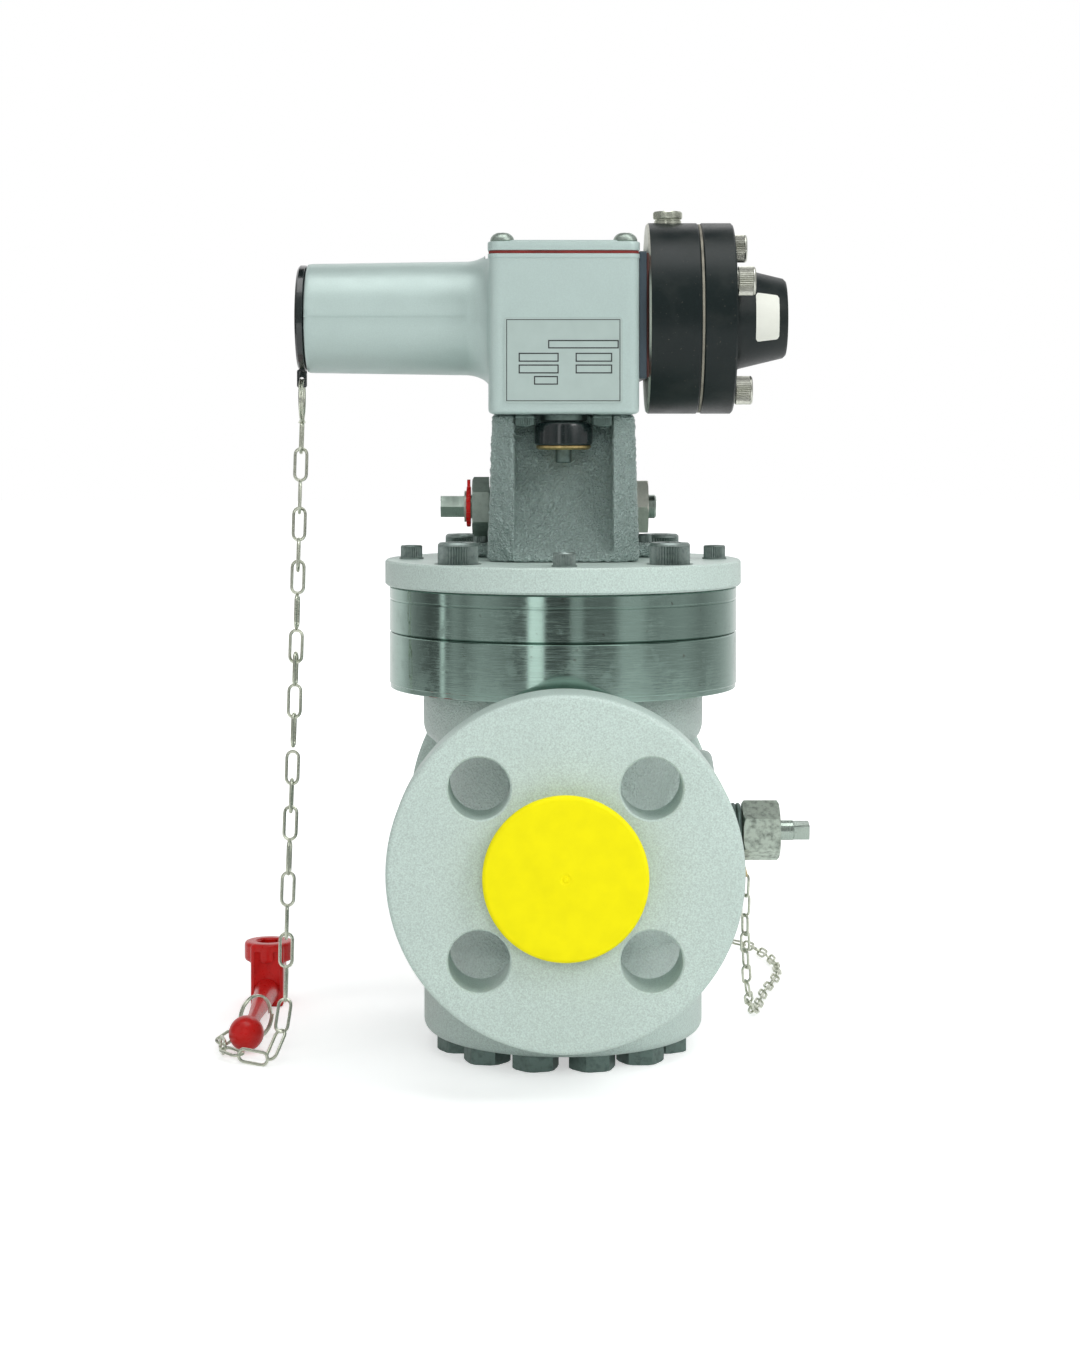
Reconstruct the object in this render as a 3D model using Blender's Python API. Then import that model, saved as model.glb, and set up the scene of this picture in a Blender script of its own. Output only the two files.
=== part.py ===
"""Spring-loaded slam-shut gas valve, DN 25, with a pressure-sensing trip unit.

Metres, +Z up. The pipe runs along Y, the trip unit's tube and head lie along X, and the
valve stands on the heads of its bottom bolts at Z = 0. The plug is shown on its seat.
"""

import math

import bmesh
import bpy
from mathutils import Matrix, Vector

MM = 0.001

# Clearances
GAP = 0.3 * MM
RUNNING_GAP = 0.3 * MM
BORE_GAP = 0.35 * MM

# Flanges, raised face for a 1 inch class 900/1500 pipe joint
FACE_TO_FACE = 254 * MM
FLANGE_D = 150 * MM
FLANGE_T = 28.6 * MM
FLANGE_EDGE = 2.2 * MM
RAISED_D = 50.8 * MM
RAISED_T = 6.4 * MM
BOLT_CIRCLE = 101.6 * MM
BOLT_HOLE_D = 26 * MM
BOLT_HOLES = 4
PIPE_BORE = 25 * MM
HUB_D = 54 * MM
HUB_FILLET = 5 * MM

# Bottom cover and its bolts
BOTTOM_BOLTS = 12
BOTTOM_BOLT_D = 12 * MM
BOTTOM_BOLT_AF = 18.5 * MM
BOTTOM_BOLT_HEAD = 7.5 * MM
BOTTOM_BOLT_REACH = 16 * MM
BOTTOM_BOLT_CIRCLE = 97 * MM
BOTTOM_COVER_D = 128 * MM
BOTTOM_COVER_T = 24.5 * MM
BOTTOM_COVER_EDGE = 5 * MM
SPIGOT_H = 6 * MM

# Body casting
PIPE_ABOVE_BODY_FOOT = 65.7 * MM
BODY_FOOT_T = 20 * MM
BULB_D = 114 * MM
NECK_D = 128 * MM
NECK_ROUND = 10 * MM
NECK_ABOVE_PIPE = 40 * MM
RING_ABOVE_PIPE = 60 * MM
RING_D = 160 * MM
RING_T = 32.5 * MM
RING_CHAMFER = 2.5 * MM
CHAMBER_D = 60 * MM
WEB_BELOW_PIPE = 10 * MM
WEB_ABOVE_PIPE = 2 * MM
ELBOW_FROM_CENTRE = 80 * MM
ELBOW_RISE = 24 * MM
ELBOW_DROP = 28 * MM
BOSS_D = 74 * MM
BOSS_REACH = 69 * MM
BOSS_ROUND = 3 * MM

# Upper ring and top cover
UPPER_RING_T = 20.7 * MM
GROOVE_BELOW_TOP = 5.4 * MM
GROOVE_W = 0.9 * MM
GROOVE_DEPTH = 0.7 * MM
TOP_COVER_D = 164 * MM
TOP_COVER_T = 11.7 * MM
TOP_COVER_CHAMFER = 1 * MM
TOP_SPIGOT_H = 5.5 * MM
COVER_SCREW_SPREAD = 47 * MM
COVER_SCREW_D = 12 * MM
COVER_SCREW_HEAD_D = 18 * MM
COVER_SCREW_HEAD_H = 12 * MM
COVER_SCREW_SINK = 2.7 * MM
COVER_SCREW_REACH = 18 * MM
SOCKET_SHARE = 0.56
SOCKET_DEPTH_SHARE = 0.5

# Seat, plug and stem
SEAT_OD = 50 * MM
SEAT_BORE = 30 * MM
SEAT_LIP = 4 * MM
SEAT_LIP_T = 3 * MM
PLUG_D = 44 * MM
PLUG_T = 12 * MM
PLUG_HUB_D = 24 * MM
PLUG_HUB_H = 8 * MM
SEAL_W = 7.4 * MM
SEAL_T = 3.7 * MM
SEAL_STANDS_OUT = 1 * MM
STEM_D = 12 * MM
STEM_ABOVE_BOX_FLOOR = 22 * MM
LATCH_NECK_D = 7 * MM
LATCH_NECK_H = 4 * MM
LATCH_HEAD_H = 6 * MM
GUIDE_OD = 19.4 * MM
GUIDE_FLANGE_D = 28 * MM
GUIDE_FLANGE_T = 3 * MM
CLOSING_SPRING_R = 17 * MM
CLOSING_WIRE = 3 * MM
CLOSING_TURNS = 6

# Tower
TOWER_H = 65.9 * MM
TOWER_TOP_HALF = 32 * MM
TOWER_FOOT_HALF = 34.1 * MM
TOWER_DEPTH_HALF = 36 * MM
TOWER_EDGE = 3 * MM
RECESS_HALF = 22 * MM
RECESS_DEPTH = 19 * MM
RECESS_FOOT = 2 * MM
RECESS_CURVE_H = 50 * MM
FOOT_HALF = 43 * MM
FOOT_H = 6.2 * MM
FOOT_FRONT = 8 * MM
FOOT_BACK = 34 * MM
CAVITY_LEFT = 16 * MM
CAVITY_RIGHT = 26 * MM
CAVITY_FLOOR = 3 * MM
WINDOW_TOP_WEB = 8 * MM

# Reset shaft, its cam and its indicator
SHAFT_D = 11 * MM
SHAFT_ABOVE_TOWER_FOOT = 23.4 * MM
SHAFT_BEHIND_STEM = 15 * MM
SHAFT_RIGHT_END = 43.6 * MM
SHAFT_HEX_AF = 9.75 * MM
SHAFT_HEX_L = 12.1 * MM
INDICATOR_D = 19 * MM
INDICATOR_T = 2.4 * MM
INDICATOR_LUG = 12.6 * MM
NUT_AF = 24 * MM
LEFT_NUT_T = 7.8 * MM
RIGHT_NUT_T = 5.4 * MM
NUT_SLEEVE_D = 18 * MM
NUT_SLEEVE_L = 13 * MM
CAM_START_DEG = 23.5
CAM_HUB_D = 17 * MM
CAM_T = 4 * MM
CAM_PIN_D = 6 * MM
CAM_PIN_L = 2.6 * MM
BLOCK_HALF = 12 * MM
BLOCK_DEPTH_HALF = 8.6 * MM
BLOCK_H = 18 * MM
BLOCK_GROOVE = 3 * MM

# Trip box
BOX_HALF_W = 33.7 * MM
BOX_HALF_D = 46 * MM
BOX_H = 71.4 * MM
BOX_WALL = 4 * MM
BOX_EDGE = 5 * MM
BOX_GASKET_T = 1 * MM
BOX_COVER_T = 4 * MM
COVER_DOME_SPREAD = 16 * MM
COVER_DOME_D = 10.6 * MM
COVER_DOME_H = 1.2 * MM
SENSING_ABOVE_BOX_FLOOR = 44.5 * MM
TUBE_REACH = 118 * MM
TUBE_END_D = 50.4 * MM
TUBE_ROOT_D = 52.7 * MM
TUBE_FLARE_D = 53.4 * MM
TUBE_FLARE_L = 8 * MM
TUBE_BORE = 43 * MM
TUBE_FLOOR_FROM_BOX = 11 * MM
TUBE_CAP_T = 3 * MM
CAP_EYE_BELOW_TUBE = 3.2 * MM
CAP_EYE_W = 4.6 * MM
CAP_EYE_T = 4 * MM
CAP_EYE_PROUD = 1.6 * MM
CAP_EYE_HOLE = 2.4 * MM
CAP_EYE_WALL = 1 * MM

# Sensing head
HEAD_MOUNT_T = 2 * MM
HEAD_MOUNT_HALF_W = 40 * MM
HEAD_MOUNT_HALF_H = 28.5 * MM
HEAD_GASKET_T = 1.8 * MM
HEAD_GASKET_INSET = 2 * MM
HEAD_D = 88 * MM
HEAD_INNER_T = 23.5 * MM
HEAD_OUTER_T = 14.7 * MM
HEAD_EDGE = 0.8 * MM
DIAPHRAGM_T = 0.6 * MM
DIAPHRAGM_BORE = 36 * MM
HEAD_CHAMBER_D = 54 * MM
INNER_CHAMBER_L = 16 * MM
OUTER_CHAMBER_L = 7 * MM
CONE_ROOT_D = 47.4 * MM
CONE_END_D = 35.8 * MM
CONE_L = 24.5 * MM
CONE_ROUND = 2 * MM
HEAD_SCREWS = 4
HEAD_SCREW_CIRCLE = 70 * MM
HEAD_SCREW_TURN_DEG = 25
HEAD_SCREW_D = 8 * MM
HEAD_SCREW_HEAD_D = 13 * MM
HEAD_SCREW_HEAD_H = 8 * MM
HEAD_SCREW_BITE = 12 * MM
PORT_FROM_HEAD_FACE = 10 * MM
PORT_D = 13.5 * MM
PORT_H = 5 * MM
PORT_SLEEVE_D = 10 * MM
PORT_SLEEVE_L = 11 * MM
PORT_BORE = 5 * MM

# Sensing stem, piston, spring and adjuster
SENSING_STEM_D = 7 * MM
SENSING_COLLAR_D = 15 * MM
SENSING_COLLAR_W = 3.3 * MM
PISTON_GAP = 0.3 * MM
PISTON_W = 3 * MM
SPRING_SEAT_D = 41 * MM
SPRING_SEAT_T = 3 * MM
SET_SPRING_R = 13 * MM
SET_WIRE = 3 * MM
SET_TURNS = 5
CUP_D = 38 * MM
CUP_T = 4 * MM
ADJUSTER_D = 36 * MM
ADJUSTER_T = 4 * MM

# Trip lever
LEVER_PIVOT_X = 22 * MM
LEVER_PIVOT_ABOVE_FLOOR = 14 * MM
LEVER_PIVOT_D = 5 * MM
LEVER_FRONT = 7.2 * MM
LEVER_T = 3.3 * MM
LEVER_ARM_HALF = 3 * MM
LEVER_ARM_ABOVE_PIVOT = 35 * MM
LEVER_TIP_ABOVE_PIVOT = 12.2 * MM
LEVER_TIP_H = 4.4 * MM
LEVER_TIP_X = 6.8 * MM
LEVER_TAIL_H = 3 * MM
LEVER_TAIL_BELOW_PIVOT = 4 * MM
LEVER_SWING_DEG = 12.5
LUG_T = 4 * MM
LUG_HALF_W = 4.5 * MM
LUG_ABOVE_PIVOT = 4.5 * MM

# Manual trip button under the box
BUTTON_BEFORE_CENTRE = 32 * MM
BUTTON_NECK_D = 21 * MM
BUTTON_NECK_H = 2.7 * MM
BUTTON_GUARD_D = 26.3 * MM
BUTTON_GUARD_H = 10.5 * MM
BUTTON_RING_D = 24.6 * MM
BUTTON_RING_H = 1.7 * MM
TRIP_PIN_D = 7.3 * MM
TRIP_PIN_SHOWS = 6 * MM
TRIP_PIN_COLLAR_D = 12 * MM
TRIP_PIN_COLLAR_H = 1.6 * MM
TRIP_PIN_ABOVE_FLOOR = 4.2 * MM

# Bypass valve on the side boss
BONNET_D = 26 * MM
BONNET_L = 13.1 * MM
BONNET_SLEEVE_D = 18 * MM
BONNET_SLEEVE_L = 18 * MM
BYPASS_NUT_T = 17 * MM
BYPASS_STEM_D = 9.3 * MM
BYPASS_STEM_SHOWS = 7 * MM
BYPASS_SQUARE_AF = 7 * MM
BYPASS_SQUARE_L = 7.1 * MM
BYPASS_SQUARE_TURN_DEG = 13
BYPASS_STEM_INSIDE = 20 * MM
NEEDLE_D = 7 * MM
NEEDLE_L = 20 * MM
NEEDLE_TRAVEL = 4 * MM
NEEDLE_TIP_D = 2.4 * MM
NEEDLE_TIP_L = 3 * MM
NEEDLE_PORT_D = 5 * MM

# Transport caps in the pipe ends
CAP_D = 69 * MM
CAP_RIM_T = 2.6 * MM
CAP_DOME = 1.6 * MM
CAP_PLUG_L = 14 * MM
CAP_PLUG_WALL = 1.8 * MM

# Chains with their rings, and the reset lever on the floor
CHAIN_W = 7 * MM
BYPASS_CHAIN_W = 5.2 * MM
RING_WIRE = 1.4 * MM
SPLIT_RING_D = 20.8 * MM
BYPASS_RING_D = 38 * MM
BYPASS_RING_TILT_DEG = 17
LEVER_X = -144.4 * MM
LEVER_BALL_Y = -17.3 * MM
LEVER_BALL_D = 16 * MM
LEVER_KNEE_Y = 81 * MM
LEVER_HANDLE_D = 6.4 * MM
LEVER_HEAD_W = 16 * MM
LEVER_HEAD_H = 31 * MM
LEVER_COLLAR_W = 24 * MM
LEVER_COLLAR_H = 9 * MM
LEVER_SOCKET_DEPTH = 8 * MM
LEVER_SOCKET_GAP = 0.3 * MM
FLOOR_RING_X = -140 * MM
FLOOR_RING_Y = 5 * MM

# Facets
ROUND_STEPS = 28
MEDIUM_STEPS = 20
SMALL_STEPS = 14
TINY_STEPS = 8

# Heights that follow
BOTTOM_COVER_Z = BOTTOM_BOLT_HEAD
BODY_Z = BOTTOM_COVER_Z + BOTTOM_COVER_T + GAP
PIPE_Z = BODY_Z + PIPE_ABOVE_BODY_FOOT
RING_Z = PIPE_Z + RING_ABOVE_PIPE
BODY_TOP = RING_Z + RING_T
UPPER_RING_Z = BODY_TOP + GAP
TOP_COVER_Z = UPPER_RING_Z + UPPER_RING_T + GAP
TOP_COVER_TOP = TOP_COVER_Z + TOP_COVER_T
TOWER_Z = TOP_COVER_TOP + GAP
BOX_Z = TOWER_Z + TOWER_H + GAP
BOX_FLOOR_Z = BOX_Z + BOX_WALL
BOX_TOP = BOX_Z + BOX_H
SHAFT_Z = TOWER_Z + SHAFT_ABOVE_TOWER_FOOT
SENSING_Z = BOX_Z + SENSING_ABOVE_BOX_FLOOR
WEB_BOTTOM = PIPE_Z - WEB_BELOW_PIPE
WEB_TOP = PIPE_Z + WEB_ABOVE_PIPE
SEAT_TOP = WEB_TOP + SEAT_LIP
SPIGOT_D = CHAMBER_D - 2 * BORE_GAP
TOP_SPIGOT_BOTTOM = TOP_COVER_Z - TOP_SPIGOT_H

# Plug, stem and cam that follow
SEAL_BOTTOM = SEAT_TOP + GAP
PLUG_Z = SEAL_BOTTOM + SEAL_STANDS_OUT
PLUG_TOP = PLUG_Z + PLUG_T
STEM_TOP = BOX_FLOOR_Z + STEM_ABOVE_BOX_FLOOR
CAM_START = math.radians(CAM_START_DEG)
CAM_PIN_Z = SHAFT_Z - SHAFT_BEHIND_STEM * math.sin(CAM_START)
CAM_X = BLOCK_HALF + RUNNING_GAP

# Where the body's hubs end and the flanges' necks begin
HUB_END = FACE_TO_FACE / 2 - RAISED_T - FLANGE_T - HUB_FILLET - GAP

# Places along X that follow
TUBE_END = -TUBE_REACH
CAP_END = TUBE_END - GAP - TUBE_CAP_T
CAP_EYE_BELOW_AXIS = TUBE_END_D / 2 + CAP_EYE_BELOW_TUBE
TUBE_FLOOR = -(BOX_HALF_W + TUBE_FLOOR_FROM_BOX)
NUT_FACE = TOWER_FOOT_HALF + GAP
INDICATOR_X = -(NUT_FACE + LEFT_NUT_T + GAP)
SHAFT_ROUND_END = INDICATOR_X - INDICATOR_T
HEAD_GASKET_X = BOX_HALF_W + GAP
HEAD_MOUNT_X = HEAD_GASKET_X + HEAD_GASKET_T + GAP
HEAD_INNER_X = HEAD_MOUNT_X + HEAD_MOUNT_T + GAP
DIAPHRAGM_X = HEAD_INNER_X + HEAD_INNER_T + GAP
HEAD_OUTER_X = DIAPHRAGM_X + DIAPHRAGM_T + GAP
HEAD_OUTER_END = HEAD_OUTER_X + HEAD_OUTER_T
PORT_X = HEAD_INNER_X + PORT_FROM_HEAD_FACE
PISTON_X = DIAPHRAGM_X + DIAPHRAGM_T / 2
BONNET_X = BOSS_REACH + GAP
BYPASS_NUT_X = BONNET_X + BONNET_L + GAP
BYPASS_NUT_END = BYPASS_NUT_X + BYPASS_NUT_T
BYPASS_END = BYPASS_NUT_END + BYPASS_STEM_SHOWS + BYPASS_SQUARE_L
BYPASS_STEM_START = BONNET_X - BONNET_SLEEVE_L + BYPASS_STEM_INSIDE - BONNET_L
NEEDLE_START = BYPASS_STEM_START - GAP - NEEDLE_TRAVEL - NEEDLE_L
NEEDLE_SEAT_SHARE = (NEEDLE_PORT_D - 2 * GAP - NEEDLE_TIP_D) / (NEEDLE_D - NEEDLE_TIP_D)
NEEDLE_SEAT_X = NEEDLE_START + NEEDLE_TIP_L * NEEDLE_SEAT_SHARE

# The origin is the middle of the whole object's box, cords left out
VALVE_X = -(CAP_END - CAP_EYE_PROUD + BYPASS_END) / 2


def material(name, colour, roughness, metallic):
    made = bpy.data.materials.new(name)
    made.use_nodes = True
    shader = made.node_tree.nodes["Principled BSDF"]
    shader.inputs["Base Color"].default_value = (*colour, 1)
    shader.inputs["Roughness"].default_value = roughness
    shader.inputs["Metallic"].default_value = metallic
    made.diffuse_color = (*colour, 1)
    return made


def empty(name, place, parent=None):
    """A pivot, or the root that carries the whole valve."""
    made = bpy.data.objects.new(name, None)
    made.empty_display_size = 20 * MM
    made.location = place
    made.parent = parent
    bpy.context.scene.collection.objects.link(made)
    return made


def piece(name, bm, look, parent, place=(0, 0, 0)):
    """A named object with its normals outward and its round faces smooth."""
    bmesh.ops.recalc_face_normals(bm, faces=bm.faces)
    mesh = bpy.data.meshes.new(name)
    bm.to_mesh(mesh)
    bm.free()
    mesh.shade_smooth()
    mesh.set_sharp_from_angle(angle=math.radians(32))
    made = bpy.data.objects.new(name, mesh)
    made.location = place
    made.parent = parent
    if look:
        mesh.materials.append(look)
    bpy.context.scene.collection.objects.link(made)
    return made


def helper(name, bm, parent, place=(0, 0, 0)):
    """A shape that a Boolean joins on or cuts away, and that no render shows."""
    made = piece(name, bm, None, parent, place)
    made.hide_render = True
    made.display_type = "WIRE"
    return made


def combine(target, other, operation):
    modifier = target.modifiers.new(f"{operation.lower()} {other.name}", "BOOLEAN")
    modifier.operation = operation
    modifier.solver = "EXACT"
    modifier.object = other


def join(target, *others):
    for other in others:
        combine(target, other, "UNION")


def cut(target, *cutters):
    for cutter in cutters:
        combine(target, cutter, "DIFFERENCE")


def round_corner(r0, h0, r1, h1, bulge_r, bulge_h, steps=3):
    """Points of a quarter ellipse from (r0, h0) to (r1, h1), bulging to (bulge_r, bulge_h)."""
    centre_r = r0 + r1 - bulge_r
    centre_h = h0 + h1 - bulge_h
    points = []
    for i in range(1, steps):
        turn = math.pi / 2 * i / steps
        start_part = math.cos(turn)
        end_part = math.sin(turn)
        points.append(
            (
                centre_r + (r0 - centre_r) * start_part + (r1 - centre_r) * end_part,
                centre_h + (h0 - centre_h) * start_part + (h1 - centre_h) * end_part,
            )
        )
    return [(r0, h0), *points, (r1, h1)]


def along(axis, a, b, h):
    """A point at (a, b) across the axis and h along it."""
    if axis == "X":
        return Vector((h, a, b))
    if axis == "Y":
        return Vector((a, h, b))
    return Vector((a, b, h))


def turned(profile, axis="Z", steps=ROUND_STEPS, ring=False, phase=0.0):
    """A solid of revolution. The profile is (radius, height) pairs, closed when it is a ring."""
    bm = bmesh.new()
    loops = []
    for radius, height in profile:
        if radius < 1e-7:
            loops.append([bm.verts.new(along(axis, 0, 0, height))])
            continue
        angles = [phase + 2 * math.pi * i / steps for i in range(steps)]
        loops.append(
            [
                bm.verts.new(
                    along(axis, radius * math.cos(a), radius * math.sin(a), height)
                )
                for a in angles
            ]
        )
    pairs = list(zip(loops, loops[1:]))
    if ring:
        pairs.append((loops[-1], loops[0]))
    for low, high in pairs:
        for i in range(steps):
            j = (i + 1) % steps
            if len(low) == 1:
                bm.faces.new((low[0], high[i], high[j]))
            elif len(high) == 1:
                bm.faces.new((low[i], low[j], high[0]))
            else:
                bm.faces.new((low[i], low[j], high[j], high[i]))
    if not ring:
        for loop in (loops[0], loops[-1]):
            if len(loop) > 1:
                bm.faces.new(loop)
    return bm


def rod(radius, start, end, axis="Z", steps=SMALL_STEPS, chamfer=0.0, phase=0.0):
    """A round or, with few steps, a many-sided bar."""
    if chamfer:
        profile = [
            (radius - chamfer, start),
            (radius, start + chamfer),
            (radius, end - chamfer),
            (radius - chamfer, end),
        ]
    else:
        profile = [(radius, start), (radius, end)]
    return turned(profile, axis, steps, phase=phase)


def drill(radius, start, end, axis="Z", steps=SMALL_STEPS, phase=0.0):
    """A many-sided bar whose flats, not its corners, reach the radius: it cuts a hole."""
    return rod(radius / math.cos(math.pi / steps), start, end, axis, steps, phase=phase)


def hexagon(across_flats, start, end, axis="Z", chamfer=0.0, phase=0.0):
    return rod(across_flats / math.sqrt(3), start, end, axis, 6, chamfer, phase)


def tube(outer, inner, start, end, axis="Z", steps=MEDIUM_STEPS):
    profile = [(inner, start), (outer, start), (outer, end), (inner, end)]
    return turned(profile, axis, steps, ring=True)


def block(low, high, edge=0.0, edge_axis=None):
    """A box between two corners. Its edges along one axis, or all of them, are rounded."""
    bm = bmesh.new()
    bmesh.ops.create_cube(bm, size=1)
    size = Vector(high) - Vector(low)
    middle = (Vector(high) + Vector(low)) / 2
    bmesh.ops.transform(
        bm,
        matrix=Matrix.Translation(middle) @ Matrix.Diagonal((*size, 1)),
        verts=bm.verts,
    )
    if edge:
        direction = {"X": 0, "Y": 1, "Z": 2}.get(edge_axis)
        edges = [
            e
            for e in bm.edges
            if direction is None
            or abs((e.verts[0].co - e.verts[1].co)[direction]) > 0.5 * size[direction]
        ]
        bmesh.ops.bevel(
            bm, geom=edges, offset=edge, segments=2, profile=0.5, affect="EDGES"
        )
    return bm


def merged(*shapes):
    """Several separate shapes in one mesh."""
    bm = bmesh.new()
    for shape in shapes:
        part = bpy.data.meshes.new("part")
        shape.to_mesh(part)
        shape.free()
        bm.from_mesh(part)
        bpy.data.meshes.remove(part)
    return bm


def moved(bm, x=0.0, y=0.0, z=0.0):
    bmesh.ops.translate(bm, vec=(x, y, z), verts=bm.verts)
    return bm


def tilted(bm, degrees, axis, centre=(0, 0, 0)):
    bmesh.ops.rotate(
        bm,
        cent=centre,
        matrix=Matrix.Rotation(math.radians(degrees), 3, axis),
        verts=bm.verts,
    )
    return bm


def patterned(make, places):
    """One copy of a shape at each (x, y)."""
    return merged(*[moved(make(), x, y) for x, y in places])


def on_circle(count, radius, start_deg):
    step = 360 / count
    return [
        (
            radius * math.cos(math.radians(start_deg + step * i)),
            radius * math.sin(math.radians(start_deg + step * i)),
        )
        for i in range(count)
    ]


def torus(radius, wire, axis="Y", steps=18, sides=5):
    profile = [
        (
            radius + wire * math.cos(2 * math.pi * i / sides),
            wire * math.sin(2 * math.pi * i / sides),
        )
        for i in range(sides)
    ]
    return turned(profile, axis, steps, ring=True)


def coil(name, radius, wire, start, end, turns, axis, look, parent, place):
    """A coil spring whose wire centre runs from start to end along its axis."""
    per_turn = 10
    count = round(turns * per_turn)
    points = []
    for i in range(count + 1):
        turn = 2 * math.pi * i / per_turn
        height = start + (end - start) * i / count
        points.append(
            along(axis, radius * math.cos(turn), radius * math.sin(turn), height)
        )
    return wire_piece(name, points, wire / 2, 0, look, parent, place)


def wire_piece(name, points, radius, resolution, look, parent, place=(0, 0, 0)):
    """A round wire or cord along the points."""
    curve = bpy.data.curves.new(name, "CURVE")
    curve.dimensions = "3D"
    curve.bevel_depth = radius
    curve.bevel_resolution = resolution
    curve.use_fill_caps = True
    spline = curve.splines.new("POLY")
    spline.points.add(len(points) - 1)
    for target, point in zip(spline.points, points):
        target.co = (*point, 1)
    curve.materials.append(look)
    made = bpy.data.objects.new(name, curve)
    made.location = place
    made.parent = parent
    bpy.context.scene.collection.objects.link(made)
    return made


def smooth_route(route, spacing):
    """Points about that far apart on a smooth curve through the route's own points."""
    ends = [2 * route[0] - route[1], *route, 2 * route[-1] - route[-2]]
    fine = []
    for before, here, after, beyond in zip(ends, ends[1:], ends[2:], ends[3:]):
        for i in range(24):
            t = i / 24
            fine.append(
                0.5
                * (
                    2 * here
                    + (after - before) * t
                    + (2 * before - 5 * here + 4 * after - beyond) * t * t
                    + (3 * here - before - 3 * after + beyond) * t * t * t
                )
            )
    fine.append(route[-1])
    length = sum((b - a).length for a, b in zip(fine, fine[1:]))
    count = max(2, round(length / spacing))
    points = [fine[0]]
    walked = 0.0
    for a, b in zip(fine, fine[1:]):
        walked += (b - a).length
        if walked >= length * len(points) / count and len(points) < count:
            points.append(b)
    points.append(fine[-1])
    return points


def cap_screw(name, diameter, head_d, head_h, reach, look, parent, place, axis="Z"):
    """A socket-head screw whose head stands on its place and whose shank goes back from it."""
    socket_af = head_d * SOCKET_SHARE
    chamfer = head_h * 0.08
    screw = piece(
        name,
        turned(
            [
                (diameter / 2, -reach),
                (diameter / 2, 0),
                (head_d / 2, 0),
                (head_d / 2, head_h - chamfer),
                (head_d / 2 - chamfer, head_h),
            ],
            axis,
            SMALL_STEPS,
        ),
        look,
        parent,
        place,
    )
    depth = head_h * SOCKET_DEPTH_SHARE
    cutter = helper(
        f"{name}_socket_cutter",
        hexagon(socket_af, head_h - depth, head_h + depth, axis),
        parent,
        place,
    )
    cut(screw, cutter)
    return screw


def flange_profile():
    """A neck flange's outline, from the raised face to the neck's end at the hub."""
    face = FACE_TO_FACE / 2
    front = face - RAISED_T
    back = front - FLANGE_T
    rim = FLANGE_D / 2
    hub = HUB_D / 2
    return [
        (0, -face),
        (RAISED_D / 2, -face),
        (RAISED_D / 2, -front),
        (rim - FLANGE_EDGE, -front),
        (rim, -front + FLANGE_EDGE),
        (rim, -back),
        *round_corner(
            hub + HUB_FILLET, -back, hub, -back + HUB_FILLET, hub, -back, steps=2
        ),
        (0, -back + HUB_FILLET),
    ]


def make_flange(name, side, looks, root):
    """A flange with its neck, welded to the hub all round."""
    outline = flange_profile()
    if side > 0:
        outline = [(r, -y) for r, y in reversed(outline)]
    place = (0, 0, PIPE_Z)
    flange = piece(name, turned(outline, "Y", ROUND_STEPS), looks["paint"], root, place)
    bore = drill(
        PIPE_BORE / 2,
        side * (HUB_END - 5 * MM),
        side * (FACE_TO_FACE / 2 + 10 * MM),
        "Y",
        SMALL_STEPS,
    )
    holes = [
        drill(
            BOLT_HOLE_D / 2,
            side * (FACE_TO_FACE / 2 - RAISED_T - FLANGE_T - 3 * MM),
            side * (FACE_TO_FACE / 2 - RAISED_T + 5 * MM),
            "Y",
            SMALL_STEPS,
        )
        for _ in range(BOLT_HOLES)
    ]
    spots = on_circle(BOLT_HOLES, BOLT_CIRCLE / 2, 180 / BOLT_HOLES)
    placed = [moved(h, x=x, z=z) for h, (x, z) in zip(holes, spots)]
    cut(
        flange,
        helper(f"{name}_bore_cutter", bore, root, place),
        helper(f"{name}_bolt_holes", merged(*placed), root, place),
    )


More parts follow.
